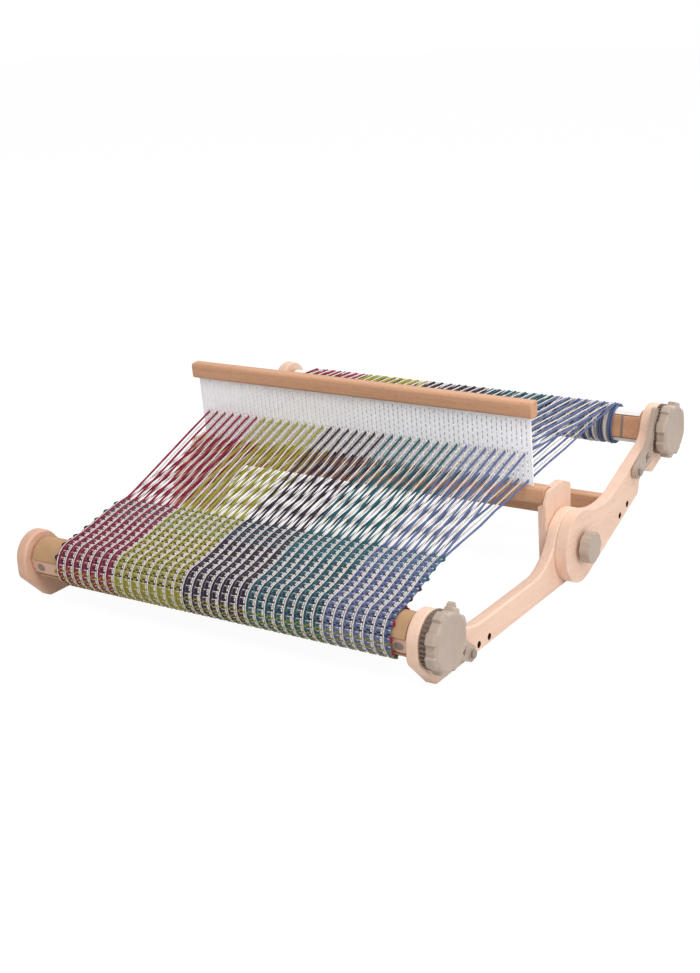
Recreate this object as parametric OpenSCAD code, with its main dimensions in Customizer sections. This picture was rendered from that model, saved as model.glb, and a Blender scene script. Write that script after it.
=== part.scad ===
// Folding table loom with a rigid heddle, warped and partly woven.
// Lengths are in millimetres. +Z is up, +Y runs from the cloth roller to the warp roller
// and +X to the side with the handles.

/* [Frame] */
// Clear width between the two front arms
inside_w = 545; // [480:5:700]
// Thickness of each arm
arm_t = 15; // [12:0.5:20]
// Side play between a front arm and the back arm beside it
arm_gap = 0.3; // [0.3:0.1:1]
// Radius of the arms' round ends at the fold
pivot_r = 45.3; // [40:0.1:54]
// Radius of the arms' round ends at the rollers
end_r = 31.5; // [29:0.5:36]
// Diameter of the holes for a floor stand
stand_hole_d = 8; // [5:0.5:10]
// Distance between the two stand holes of an arm
stand_hole_gap = 24.2; // [18:0.2:34]
// Distance from a stand hole to the arm's lower edge
stand_hole_edge = 8.3; // [7:0.1:14]

/* [Front arms] */
// Distance along the ground from the fold to the cloth roller
front_reach = 335; // [300:1:380]
// Height of the cloth roller above the fold
front_rise = 10.5; // [4:0.5:14]
// Width of the straight part of a front arm
front_beam_w = 32.6; // [28:0.2:38]
// Distance from the fold to the middle of the front stand holes
front_stand_reach = 224.7; // [190:0.1:240]

/* [Back arms] */
// Distance along the arm from the fold to the warp roller
back_reach = 252; // [238:1:285]
// Height of the warp roller over the arm's own centre line
back_rise = -5; // [-8:0.5:0]
// Angle of the opened back arms above the ground
back_angle = 20.3; // [12:0.1:26]
// Width of the straight part of a back arm
back_beam_w = 47.5; // [42:0.1:52]
// Distance from the fold to the middle of the back stand holes
back_stand_reach = 118; // [90:0.5:135]
// Width of the cross rail
rail_w = 34; // [26:0.5:36]
// Thickness of the cross rail
rail_t = 16; // [12:0.5:18]
// Distance from the fold to the front of the cross rail
rail_reach = 84; // [84:0.5:88]
// Diameter of the cross rail's tenons
tenon_d = 14; // [8:0.5:15]
// Length of the cross rail's tenons
tenon_l = 10; // [6:0.5:11]

/* [Heddle blocks] */
// Thickness of a heddle block
block_t = 10.5; // [9:0.5:14]
// Thickness of the cheek that keeps the heddle from sliding sideways
cheek_t = 4.2; // [3:0.1:5]
// Height of the heddle's ledge above the fold
ledge_z = 57; // [55:0.5:62]
// Height of the block's rear prong above the fold
prong_z = 77; // [70:0.5:78]

/* [Heddle] */
// Width of the top rail
heddle_w = 511; // [500:1:540]
// Height of the whole heddle
heddle_h = 128.5; // [110:0.5:134]
// Height of each heddle rail
heddle_rail_h = 20.5; // [16:0.5:24]
// Thickness of each heddle rail
heddle_rail_t = 17; // [12:0.5:18]
// Width of the slotted plastic
reed_w = 500; // [497:1:504]
// Thickness of the slotted plastic
reed_t = 2.4; // [1.6:0.2:3]
// Height of the plastic's eyes above the heddle's foot
eye_z = 60.3; // [50:0.1:70]
// Forward lean of the heddle
heddle_lean = 3.3; // [0:0.1:4]
// Distance from the fold to the middle of the heddle's foot
heddle_y = 22.7; // [21:0.1:24]

/* [Rollers] */
// Radius of both wooden rollers
roller_r = 22; // [20:0.5:23]
// Side play between a roller and each arm
roller_play = 1; // [0.5:0.1:2]
// Width of the stick let into the front roller
front_stick_w = 19; // [14:0.5:22]
// Width of the stick let into the back roller
back_stick_w = 29; // [20:0.5:30]
// Thickness of the stick let into each roller
stick_t = 9; // [6:0.5:10]
// Diameter of the plugs in the stick
plug_d = 11; // [8:0.5:12]
// Diameter of the handles' hubs, which are the rollers' right axles
hub_d = 16; // [12:0.5:18]
// Diameter of the bolts that are the rollers' left axles
axle_d = 8; // [6:0.5:10]
// Running clearance of every axle and bore, at the radius
fit = 0.08; // [0.03:0.01:0.1]

/* [Handles and pawls] */
// Radius over the lobes of a handle
handle_r = 37; // [35:0.5:40]
// Depth of a handle from its ratchet to its face
handle_l = 22; // [20:0.5:28]
// Width of the ratchet wheel behind a handle
ratchet_l = 8; // [6:0.5:10]
// Radius over the ratchet's teeth
ratchet_r = 33; // [30:0.5:35]
// Depth of the ratchet's teeth
tooth_h = 2.6; // [2:0.1:3.4]
// Distance from the cloth roller's axis to its pawl's screw
front_pawl_reach = 82; // [78:0.5:84]
// Distance from the warp roller's axis to its pawl's screw
back_pawl_reach = 90; // [82:0.5:95]
// Thickness of a pawl
pawl_t = 6; // [5:0.5:7]
// Radius of the fold knobs
knob_r = 20.2; // [17:0.1:24]
// Height of the fold knobs
knob_h = 15; // [12:0.5:20]
// Diameter of the fold bolts
bolt_d = 8; // [6:0.5:8]

/* [Yarn] */
// Distance between neighbouring warp threads
sett = 3.3333; // [3.2:0.01:3.35]
// Thickness of the warp threads
thread_d = 1.3; // [0.8:0.1:1.4]
// Distance from the fold to the last woven row
fell_reach = 222; // [215:1:240]
// Height of the last woven row above the fold
fell_z = 52; // [46:0.5:58]
// Width of the cloth at its last woven row
fell_w = 471; // [440:1:480]
// Thickness of the cloth
cloth_t = 1.6; // [1:0.1:2.4]
// Radius over the cloth on its roller
cloth_r = 28.5; // [26:0.1:29.5]
// Radius over the card on the cloth roller
card_r = 25; // [23.5:0.1:25]
// Width of the cloth where it reaches its roller
rolled_w = 472; // [440:1:480]
// Sideways shift of the cloth on its roller, towards the handles
rolled_shift = 13; // [0:0.5:18]
// Radius over the warp on its roller
warp_r = 27; // [25:0.5:34]
// Width of the warp on its roller
warp_w = 484; // [440:1:490]

/* [Hidden] */
$fn = 64;

beech = [0.93, 0.78, 0.67];
brown_beech = [0.77, 0.57, 0.42];
roller_wood = [0.76, 0.61, 0.44];
taupe = [0.68, 0.62, 0.56];
steel = [0.7, 0.7, 0.72];
yarn = [0.45, 0.5, 0.66];
card = [0.76, 0.63, 0.47];

// Directions and small helpers
arc_step = 6;
slack = 0.3;
pivot_z = pivot_r;
function unit(v) = v / norm(v);
function angle_of(v) = atan2(v[1], v[0]);
function polar(r, a) = r * [cos(a), sin(a)];
function turned(p, a) = [p[0] * cos(a) - p[1] * sin(a), p[0] * sin(a) + p[1] * cos(a)];

// Points of an arc about c, both ends included
function arc(c, r, a0, a1) =
    let (n = max(2, ceil(abs(a1 - a0) / arc_step)))
    [for (i = [0 : n]) c + polar(r, a0 + (a1 - a0) * i / n)];

// Points that round the corner p, reached from a and left towards b
function corner(a, p, b, r) =
    let (ua = unit(a - p), ub = unit(b - p), half = acos(ua * ub) / 2,
         c = p + unit(ua + ub) * r / sin(half),
         a0 = angle_of(p + ua * r / tan(half) - c), a1 = angle_of(p + ub * r / tan(half) - c),
         sweep = ((a1 - a0 + 540) % 360) - 180)
    arc(c, r, a0, a0 + sweep);

// Closed outline through the corners [x, y, radius]
function rounded(p) =
    let (n = len(p), at = [for (q = p) [q[0], q[1]]])
    [for (i = [0 : n - 1]) each corner(at[(i + n - 1) % n], at[i], at[(i + 1) % n], p[i][2])];

// Centre of a hollow fillet of radius f between a disc (c, r) and the level h, on one side
function fillet_centre(c, r, h, f, side) =
    [c[0] + side * sqrt(pow(r + f, 2) - pow(h + f - c[1], 2)), h + f];

// Direction and end of the line from p that just passes over a round (c, r)
function over(p, c, r, side) = angle_of(c - p) + side * asin(r / norm(c - p));
function over_length(p, c, r) = sqrt(pow(norm(c - p), 2) - r * r);

// Outline in the (Y, Z) plane, drawn from x0 towards +X
module across(x0, width) {
    translate([x0, 0, 0]) rotate([90, 0, 90]) linear_extrude(width) children();
}
// Round bar along +X
module bar(x0, length, r) {
    translate([x0, 0, 0]) rotate([0, 90, 0]) cylinder(h = length, r = r);
}
module at(p) {
    translate([0, p[0], p[1]]) children();
}
// Straight bar outline with round ends at a and b
module link(a, ra, b, rb) {
    d = norm(b - a);
    lean = asin((ra - rb) / d);
    way = angle_of(b - a);
    polygon(concat(
        arc(a, ra, way + 90 - lean, way + 270 + lean),
        arc(b, rb, way - 90 + lean, way + 90 - lean)
    ));
}

// Places in the (Y, Z) plane, from the fold
fold = [0, 0];
front_axis = [-front_reach, front_rise];
back_axis = turned([back_reach, back_rise], back_angle);
fell = [-fell_reach, fell_z];
half_in = inside_w / 2;
back_in = half_in + arm_t + arm_gap;
outside = back_in + arm_t;

// The whole loom is centred on its box and stands on Z = 0
x_max = outside + handle_l + ratchet_gap();
x_min = -(outside + washer_t() + knob_h);
y_min = -front_reach - handle_r;
y_max = back_axis[0] + handle_r;
function ratchet_gap() = 1;
function washer_t() = 1.5;
module place() {
    translate([-(x_max + x_min) / 2, -(y_max + y_min) / 2, pivot_z]) children();
}

// Front arm, along +u from the fold
front_top = front_beam_w - pivot_r;
front_end = [front_reach + 1.5, front_rise + 1.4];
toe_back = 5.5;
toe = [front_end[0] - toe_back, -pivot_r];
nose = [front_end[0] + end_r, -pivot_r + end_r + toe_back];
function front_arm_outline() =
    let (pivot_f = 62, end_f = 110,
         cp = fillet_centre(fold, pivot_r, front_top, pivot_f, 1),
         ce = fillet_centre(front_end, end_r, front_top, end_f, -1),
         ap = angle_of(cp), ae = angle_of(ce - front_end))
    concat(
        arc(fold, pivot_r, ap, 270),
        corner([0, -pivot_r], toe, nose, 9),
        corner(toe, nose, front_end + [end_r, 0], 14),
        arc(front_end, end_r, 0, ae),
        arc(ce, end_f, ae - 180, -90),
        arc(cp, pivot_f, -90, ap - 180)
    );

// Back arm, along +u from the fold
back_top = back_beam_w - pivot_r;
back_end = [back_reach + 1.9, back_rise + 0.9];
foot_w = 2.7;
heel = [back_end[0] - 3, -pivot_r - foot_w];
back_nose = [back_end[0] + end_r, heel[1] + back_end[0] + end_r - heel[0]];
// Arch in the lower edge: corners along the arm, and how deep it is
arch_start = 88;
arch_end = 39;
arch_h = 15;
function back_arm_outline() =
    let (pivot_f = 125, end_f = 25,
         cp = fillet_centre(fold, pivot_r, back_top, pivot_f, 1),
         ce = fillet_centre(back_end, end_r, back_top, end_f, -1),
         ap = angle_of(cp), ae = angle_of(ce - back_end),
         a = [back_reach - arch_start, -pivot_r], b = a + [10, arch_h],
         c = b + [16, 1], d = [back_reach - arch_end, heel[1]])
    concat(
        arc(fold, pivot_r, ap, 270),
        corner([0, -pivot_r], a, b, 9), corner(a, b, c, 6), corner(b, c, d, 8),
        corner(c, d, heel, 9), corner(d, heel, back_nose, 9),
        corner(heel, back_nose, back_end + [end_r, 0], 12),
        arc(back_end, end_r, 0, ae),
        arc(ce, end_f, ae - 180, -90),
        arc(cp, pivot_f, -90, ap - 180)
    );

// Stand holes at the given reach along the arm, on both sides of it
module stand_holes(reach) {
    for (s = [-1, 1])
        at([reach + s * stand_hole_gap / 2, -pivot_r + stand_hole_edge])
            bar(-1, arm_t + 2, stand_hole_d / 2);
}

module front_arm(x0, bore_d) {
    difference() {
        across(x0, arm_t) mirror([1, 0]) polygon(front_arm_outline());
        at(fold) bar(x0 - 1, arm_t + 2, bolt_d / 2 + fit);
        at(front_axis) bar(x0 - 1, arm_t + 2, bore_d / 2 + fit);
        translate([x0, 0, 0]) mirror([0, 1, 0]) stand_holes(front_stand_reach);
    }
}
module front_arm_left() {
    color(beech) place() front_arm(-half_in - arm_t, axle_d);
}
module front_arm_right() {
    color(beech) place() front_arm(half_in, hub_d);
}

// Cross rail between the back arms, under the warp
rail_z = [0.5, 0.5 + rail_w];
rail_mid = [rail_reach + rail_t / 2, rail_z[0] + rail_w / 2];

module back_arm(x0, bore_d, socket_x) {
    difference() {
        across(x0, arm_t) rotate(back_angle) polygon(back_arm_outline());
        at(fold) bar(x0 - 1, arm_t + 2, bolt_d / 2 + fit);
        at(back_axis) bar(x0 - 1, arm_t + 2, bore_d / 2 + fit);
        at(rail_mid) bar(socket_x, tenon_l + slack, tenon_d / 2 + fit);
        translate([x0, 0, 0]) rotate([back_angle, 0, 0]) stand_holes(back_stand_reach);
    }
}
module back_arm_left() {
    color(beech) place() back_arm(-outside, axle_d, -back_in - tenon_l - slack);
}
module back_arm_right() {
    color(beech) place() back_arm(back_in, hub_d, back_in);
}
module cross_rail() {
    edge_r = 2.5;
    y = [rail_reach, rail_reach + rail_t];
    color(brown_beech) place() union() {
        across(-back_in, 2 * back_in) polygon(rounded([
            [y[0], rail_z[0], edge_r], [y[1], rail_z[0], edge_r],
            [y[1], rail_z[1], edge_r], [y[0], rail_z[1], edge_r]
        ]));
        at(rail_mid) bar(-back_in - tenon_l, 2 * (back_in + tenon_l), tenon_d / 2);
    }
}

// Heddle block on the inner face of a front arm: a cheek, and a ledge with a rear prong
block_y = [-38, 32];
block_foot = -24;
ledge_back = -heddle_y + heddle_rail_t / 2 + 1.2;
screw_d = 4;
module cheek_outline() {
    polygon(rounded([
        [block_y[0] + 3, block_foot, 10], [block_y[1] - 2, block_foot, 10],
        [block_y[1], prong_z - 9, 5], [12, prong_z, 30], [block_y[0] + 10, prong_z - 2, 5],
        [block_y[0], ledge_z + 3, 8]
    ]));
}
module ledge_outline() {
    intersection() {
        cheek_outline();
        polygon(rounded([
            [block_y[0] - 9, block_foot - 9, 1], [block_y[1] + 9, block_foot - 9, 1],
            [block_y[1] + 9, prong_z + 9, 1], [ledge_back, prong_z + 9, 1],
            [ledge_back, ledge_z, 1], [block_y[0] - 9, ledge_z, 1]
        ]));
    }
}
// Block of the right side; the left one is its mirror image
screw_at = [[-18, 34], [16, 34]];
module heddle_block() {
    difference() {
        union() {
            across(half_in - cheek_t, cheek_t) cheek_outline();
            across(half_in - block_t, block_t) ledge_outline();
        }
        bar(half_in - block_t - 1, block_t + 2, bolt_d / 2 + fit);
        for (p = screw_at) at(p) {
            bar(half_in - block_t - 1, block_t + 2, screw_d / 2 + fit);
            bar(half_in - block_t - 1, 1 + screw_head_h + slack, screw_head_r + slack);
        }
    }
}
screw_head_r = 4;
screw_head_h = 3;
module heddle_block_left() {
    color(beech) place() mirror([1, 0, 0]) heddle_block();
}
module heddle_block_right() {
    color(beech) place() heddle_block();
}
module block_screws() {
    color(steel) place() for (side = [0, 1]) mirror([side, 0, 0])
        for (p = screw_at) at(p) {
            bar(half_in - block_t + slack, block_t - slack - 0.1, screw_d / 2);
            bar(half_in - block_t + slack, screw_head_h, screw_head_r);
        }
}

// Fold bolts, their washers and the knobs that clamp the arms
bolt_end = outside + washer_t() + knob_h - 3;
bolt_head_h = 4;
module fold_bolt() {
    union() {
        bar(half_in - block_t, bolt_end - half_in + block_t, bolt_d / 2);
        bar(half_in - block_t - bolt_head_h, bolt_head_h, bolt_d);
    }
}
module fold_bolt_left() {
    color(steel) place() mirror([1, 0, 0]) fold_bolt();
}
module fold_bolt_right() {
    color(steel) place() fold_bolt();
}
module fold_washers() {
    color(steel) place() for (side = [0, 1]) mirror([side, 0, 0]) difference() {
        bar(outside + 0.1, washer_t() - 0.2, bolt_d);
        bar(outside - 1, washer_t() + 2, bolt_d / 2 + fit);
    }
}
module fold_knob() {
    lobes = 8;
    rim = [for (a = [0 : 5 : 355]) polar(knob_r - 1.5 * pow(sin(a * lobes / 2), 4), a)];
    face = 2;
    x0 = outside + washer_t();
    difference() {
        union() {
            bar(x0, 3, knob_r * 0.62);
            across(x0 + 3, knob_h - 3 - face) polygon(rim);
            across(x0 + knob_h - face, face) polygon(rim * 0.94);
        }
        bar(x0 - 1, bolt_end - x0 + 1 + slack, bolt_d / 2 + fit);
    }
}
module fold_knob_left() {
    color(taupe) place() mirror([1, 0, 0]) fold_knob();
}
module fold_knob_right() {
    color(taupe) place() fold_knob();
}

// Roller of the given half length: round, with a flat seat for its stick
// Distance from a roller's axis to the seat of a stick, whose face is nearly flush
function stick_seat(w) = sqrt(pow(roller_r, 2) - pow(w / 2, 2)) - stick_t + 2;
hub_depth = 22;
axle_depth = 30;
pin_d = 3;
pin_x = 11;
module stick_slot(half_l, w) {
    translate([-half_l - 1, -handle_r - 1, -w / 2 - slack])
        cube([2 * half_l + 2, handle_r + 1 - stick_seat(w), w + 2 * slack]);
}
module roller(half_l, w, turn) {
    difference() {
        bar(-half_l, 2 * half_l, roller_r);
        rotate([turn, 0, 0]) stick_slot(half_l, w);
        bar(half_l - hub_depth, hub_depth + 1, hub_d / 2 + fit);
        bar(-half_l - 1, axle_depth + 1, axle_d / 2 + fit);
        translate([half_l - pin_x, 0, 0]) cylinder(h = 2 * roller_r, r = pin_d / 2 + fit, center = true);
    }
}
front_stick_turn = 16;
back_stick_turn = -8;
front_half = half_in - roller_play;
back_half = back_in - roller_play;
plug_x = 14;
plug_l = 5;
module stick(half_l, w) {
    translate([-half_l, -stick_seat(w) - stick_t, -w / 2]) cube([2 * half_l, stick_t, w]);
}
// Places of the plugs in both ends of a stick; they stand 0.5 mm proud of its face
module plug_places(half_l, w) {
    for (s = [-1, 1])
        translate([s * (half_l - plug_x), -stick_seat(w) - stick_t + plug_l, 0])
            rotate([90, 0, 0]) children();
}
module front_place() {
    place() at(front_axis) rotate([front_stick_turn, 0, 0]) children();
}
module back_place() {
    place() at(back_axis) rotate([back_stick_turn, 0, 0]) children();
}
module front_roller() {
    color(roller_wood) place() at(front_axis) roller(front_half, front_stick_w, front_stick_turn);
}
module front_stick() {
    color(beech) front_place() difference() {
        stick(front_half, front_stick_w);
        plug_places(front_half, front_stick_w) cylinder(h = plug_d, r = plug_d / 2 + fit);
    }
}
module front_stick_plugs() {
    color(taupe) front_place() plug_places(front_half, front_stick_w)
        cylinder(h = plug_l + 0.5, r = plug_d / 2);
}
module back_roller() {
    color(roller_wood) place() at(back_axis) roller(back_half, back_stick_w, back_stick_turn);
}
module back_stick() {
    color(brown_beech) back_place() stick(back_half, back_stick_w);
}
// Narrow bands round the back stick, near its ends
band_x = 29;
band_w = 3.5;
band_t = 0.6;
module back_stick_bands() {
    color(taupe) back_place() for (s = [-1, 1])
        translate([s * (back_half - band_x) - band_w / 2, -stick_seat(back_stick_w) - stick_t - band_t,
                   -back_stick_w / 2])
            cube([band_w, band_t - 0.02, back_stick_w]);
}

// Bolt that is a roller's left axle, with its washer and hexagonal head
module axle_bolt(arm_face, roller_end) {
    end = roller_end + axle_depth - 2;
    bar(-arm_face - washer_t(), arm_face + washer_t() + end, axle_d / 2);
    bar(-arm_face - washer_t(), washer_t() - 0.1, axle_d * 1.2);
    translate([-arm_face - washer_t() - 5, 0, 0]) rotate([0, 90, 0])
        cylinder(h = 5, r = axle_d * 0.9, $fn = 6);
}
module front_axle_bolt() {
    color(steel) place() at(front_axis) axle_bolt(half_in + arm_t, -front_half);
}
module back_axle_bolt() {
    color(steel) place() at(back_axis) axle_bolt(outside, -back_half);
}
module handle_pin(half_l) {
    translate([half_l - pin_x, 0, -roller_r + 1]) cylinder(h = 2 * roller_r - 2, r = pin_d / 2);
}
module front_handle_pin() {
    color(steel) place() at(front_axis) handle_pin(front_half);
}
module back_handle_pin() {
    color(steel) place() at(back_axis) handle_pin(back_half);
}

// Handle: hub, ratchet wheel, and a bell with square lobes whose face is slightly hollow
teeth = 36;
lobe_count = 8;
lobe_angle = 22;
lobe_turn = 25;
lobe_h = 3.6;
bell_x = ratchet_gap() + ratchet_l + 0.5;
function ratchet_outline() = [
    for (i = [0 : teeth - 1])
        each [polar(ratchet_r - tooth_h, i * pitch), polar(ratchet_r, (i + 0.7) * pitch),
              polar(ratchet_r, (i + 0.88) * pitch)]
];
module lobe(r) {
    polygon(concat([polar(r / 2, 0)], arc([0, 0], r, -lobe_angle / 2, lobe_angle / 2)));
}
module handle(face_x, roller_end, phase) {
    end = ratchet_gap() + handle_l;
    shoulder = 5;
    skirt = handle_r - lobe_h;
    difference() {
        union() {
            bar(roller_end - hub_depth + 1, face_x - roller_end + hub_depth + 2, hub_d / 2);
            across(face_x + ratchet_gap(), ratchet_l + 1.5) rotate(phase) polygon(ratchet_outline());
            translate([face_x, 0, 0]) rotate([0, 90, 0]) rotate_extrude($fn = 96) polygon([
                [0, bell_x], [skirt - 0.6, bell_x], [skirt, bell_x + 0.6], [skirt, end - shoulder],
                [skirt - 2, end - shoulder / 2], [skirt - 6, end - 0.7], [skirt - 8, end - 0.4],
                [0, end - 1.5]
            ]);
            for (i = [0 : lobe_count - 1]) rotate([lobe_turn + i * 360 / lobe_count, 0, 0]) {
                across(face_x + bell_x + 0.2, end - bell_x - shoulder + 0.3) lobe(handle_r);
                across(face_x + bell_x + 1, end - bell_x - 1.4 - shoulder / 2) lobe(handle_r - 1.5);
            }
        }
        translate([roller_end - pin_x, 0, 0])
            cylinder(h = 2 * roller_r, r = pin_d / 2 + fit, center = true);
    }
}
module front_handle() {
    color(taupe) place() at(front_axis) mirror([0, 1, 0])
        handle(half_in + arm_t, front_half, front_pawl_turn);
}
module back_handle() {
    color(taupe) place() at(back_axis) handle(outside, back_half, back_angle + back_pawl_turn);
}

// Pawl beside the ratchet, drawn about the roller axis with its screw at angle zero
tooth_angle = 50;
pawl_screw_r = 2.5;
pitch = 360 / teeth;
module pawl_outline(reach) {
    root = [reach, 0];
    middle = polar(ratchet_r + 26, -4);
    waist = polar(ratchet_r + 7.1, -20);
    neck = polar(ratchet_r + 4.9, -50);
    tip = polar(ratchet_r + 7.2, -72);
    heel = polar(ratchet_r + 20, 11);
    tooth = -round(tooth_angle / pitch) * pitch;
    difference() {
        union() {
            link(root, 9.4, middle, 7.6);
            link(middle, 7.6, waist, 5.2);
            link(waist, 5.2, neck, 3.6);
            link(neck, 3.6, tip, 5.8);
            link(root, 7.5, heel, 4);
            link(heel, 4, waist, 4);
            polygon([
                polar(ratchet_r + 6, tooth - 6), polar(ratchet_r + 0.8, tooth - 0.1 * pitch),
                polar(ratchet_r - tooth_h / 2, tooth + 0.03 * pitch),
                polar(ratchet_r - tooth_h / 2, tooth + 0.14 * pitch),
                polar(ratchet_r + 0.8, tooth + 0.6 * pitch), polar(ratchet_r + 6, tooth + pitch)
            ]);
        }
        polygon(rounded([
            [middle[0] - 5, middle[1] - 1.5, 1], [middle[0] + 5.5, middle[1] - 1, 1],
            [middle[0] + 8, middle[1] + 10, 1], [middle[0] - 1, middle[1] + 7.5, 1]
        ]));
    }
}
// How far the pawls are turned round their roller axes
front_pawl_turn = 213;
back_pawl_turn = 181.8;
pawl_gap = ratchet_gap() + 0.5;
module pawl(face_x, reach) {
    difference() {
        union() {
            across(face_x + pawl_gap, pawl_t) pawl_outline(reach);
            at([reach, 0]) bar(face_x + slack, pawl_gap + pawl_t - slack + 1, 7);
        }
        at([reach, 0]) bar(face_x - 1, pawl_t + pawl_gap + 5, pawl_screw_r + fit);
    }
}
// Pan-head screw of a pawl, from inside the arm to over the pawl's boss
module pawl_screw(face_x, reach) {
    top = face_x + pawl_gap + pawl_t + 1 + slack;
    at([reach, 0]) {
        bar(face_x + 0.1, top - face_x, pawl_screw_r);
        bar(top, 2.6, pawl_screw_r * 2);
    }
}
module front_mirror() {
    at(front_axis) mirror([0, 1, 0]) rotate([front_pawl_turn, 0, 0]) children();
}
module back_turn() {
    at(back_axis) rotate([back_angle + back_pawl_turn, 0, 0]) children();
}
module front_pawl() {
    color(taupe) place() front_mirror() pawl(half_in + arm_t, front_pawl_reach);
}
module back_pawl() {
    color(taupe) place() back_turn() pawl(outside, back_pawl_reach);
}
module front_pawl_screw() {
    color(steel) place() front_mirror() pawl_screw(half_in + arm_t, front_pawl_reach);
}
module back_pawl_screw() {
    color(steel) place() back_turn() pawl_screw(outside, back_pawl_reach);
}

// Heddle, leaning forward, on the ledges of its blocks
module heddle_place() {
    translate([0, -heddle_y, ledge_z + slack + heddle_rail_t / 2 * sin(heddle_lean)])
        rotate([heddle_lean, 0, 0]) children();
}
module heddle_rail(z0, half_l) {
    edge_r = 4;
    y = heddle_rail_t / 2;
    across(-half_l, 2 * half_l) polygon(rounded([
        [-y, z0, edge_r], [y, z0, edge_r], [y, z0 + heddle_rail_h, edge_r],
        [-y, z0 + heddle_rail_h, edge_r]
    ]));
}
groove = 8;
module reed_groove(z0) {
    translate([-reed_w / 2 - 0.1, -reed_t / 2 - 0.1, z0])
        cube([reed_w + 0.2, reed_t + 0.2, groove + 0.1]);
}
top_rail_z = heddle_h - heddle_rail_h;
module heddle_top_rail() {
    color(brown_beech) place() heddle_place() difference() {
        heddle_rail(top_rail_z, heddle_w / 2);
        reed_groove(top_rail_z - 0.1);
    }
}
module heddle_bottom_rail() {
    color(brown_beech) place() heddle_place() difference() {
        heddle_rail(0, half_in - cheek_t - 0.6);
        reed_groove(heddle_rail_h - groove);
    }
}
// Threads are counted from the middle: even ones go through eyes, odd ones through slots
last_thread = 72;
function thread_x(i) = i * sett;
module heddle_reed() {
    z0 = heddle_rail_h - groove + 0.1;
    z1 = top_rail_z + groove - 0.1;
    margin = groove + 4;
    eye_w = 2.2;
    slot_w = 2.2;
    color("white") place() heddle_place() translate([0, reed_t / 2, 0]) rotate([90, 0, 0])
        linear_extrude(reed_t) difference() {
            translate([-reed_w / 2, z0]) square([reed_w, z1 - z0]);
            for (i = [-last_thread : 2 : last_thread])
                translate([thread_x(i) - eye_w / 2, eye_z - 2.5]) square([eye_w, 5]);
            for (i = [-last_thread - 1 : 2 : last_thread + 1])
                translate([thread_x(i) - slot_w / 2, z0 + margin]) square([slot_w, z1 - z0 - 2 * margin]);
        }
}

// Cloth on its roller and from there to the last woven row
threads_w = 2 * thread_x(last_thread + 1) + thread_d;
paper_t = 0.8;
module sleeve(half_l, r0, r1) {
    difference() {
        bar(-half_l, 2 * half_l, r1);
        bar(-half_l - 1, 2 * half_l + 2, r0);
    }
}
module cloth_roll() {
    color(yarn) place() translate([rolled_shift, 0, 0]) at(front_axis)
        sleeve(rolled_w / 2, card_r + 0.1, cloth_r - slack);
}
// Card or paper round a roller, open over its stick
module wrap(half_l, w, r1, turn) {
    difference() {
        sleeve(half_l, roller_r + 0.1, r1);
        rotate([turn, 0, 0]) stick_slot(half_l, w + 2);
    }
}
module beam_card() {
    color(card) place() at(front_axis) wrap(front_half - 4, front_stick_w, card_r, front_stick_turn);
}
cloth_line_r = cloth_r;
cloth_way = over(fell, front_axis, cloth_line_r, -1);
cloth_l = over_length(fell, front_axis, cloth_line_r);
module cloth_span() {
    color(yarn) place() at(fell) rotate([cloth_way - 180, 0, 0])
        linear_extrude(cloth_t) polygon([
            [rolled_shift - rolled_w / 2, -cloth_l], [rolled_shift + rolled_w / 2, -cloth_l],
            [fell_w / 2, -0.1], [-fell_w / 2, -0.1]
        ]);
}

// One layer of warp: every other thread, joined by a thread across both ends, with the given
// widths there
module layer(length, first, w) {
    d = thread_d / 2;
    share = w / threads_w;
    translate([0, 0, -d]) linear_extrude(thread_d) union() {
        for (i = [-last_thread - first : 2 : last_thread + first])
            polygon([
                [thread_x(i) * share[0] - d, 0], [thread_x(i) * share[0] + d, 0],
                [thread_x(i) * share[1] + d, length], [thread_x(i) * share[1] - d, length]
            ]);
        translate([-w[0] / 2, 0]) square([w[0], thread_d]);
        translate([-w[1] / 2, length - thread_d]) square([w[1], thread_d]);
    }
}
// Layer from p at the given angle in the (Y, Z) plane
module layer_from(p, way, length, first, w) {
    at(p) rotate([way, 0, 0]) layer(length, first, w);
}
// Where the raised and the sunk threads meet the heddle
raised = [-heddle_y - eye_z * sin(heddle_lean), ledge_z + slack + eye_z];
sunk_h = heddle_rail_h + 5.5;
sunk = [-heddle_y - sunk_h * sin(heddle_lean), ledge_z + slack + sunk_h];
reed_gap = reed_t / 2 + thread_d / 2 + slack;
fell_line = fell + [0.3, cloth_t / 2];
module warp_front() {
    color(yarn) place() for (k = [0, 1]) {
        p = (k == 0 ? raised : sunk) - [reed_gap, 0];
        layer_from(fell_line, angle_of(p - fell_line), norm(p - fell_line), k, [fell_w, threads_w]);
    }
}
warp_line_r = warp_r + slack + thread_d / 2;
module warp_back() {
    color(yarn) place() for (k = [0, 1]) {
        p = (k == 0 ? raised : sunk) + [reed_gap, 0];
        layer_from(p, over(p, back_axis, warp_line_r, 1), over_length(p, back_axis, warp_line_r), k,
            [threads_w, warp_w]);
    }
}
module warp_roll() {
    color(yarn) place() at(back_axis) sleeve(warp_w / 2, roller_r + 2, warp_r);
}
module beam_paper() {
    color("white") place() at(back_axis)
        wrap(back_half - 6, back_stick_w, roller_r + paper_t, back_stick_turn);
}

front_arm_left();
front_arm_right();
heddle_block_left();
heddle_block_right();
block_screws();
fold_bolt_left();
fold_bolt_right();
fold_washers();
fold_knob_left();
fold_knob_right();
back_arm_left();
back_arm_right();
cross_rail();
front_roller();
front_stick();
front_stick_plugs();
front_handle();
front_handle_pin();
front_axle_bolt();
beam_card();
cloth_roll();
back_roller();
back_stick();
back_stick_bands();
back_handle();
back_handle_pin();
back_axle_bolt();
beam_paper();
warp_roll();
front_pawl();
front_pawl_screw();
back_pawl();
back_pawl_screw();
heddle_top_rail();
heddle_bottom_rail();
heddle_reed();
cloth_span();
warp_front();
warp_back();
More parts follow.
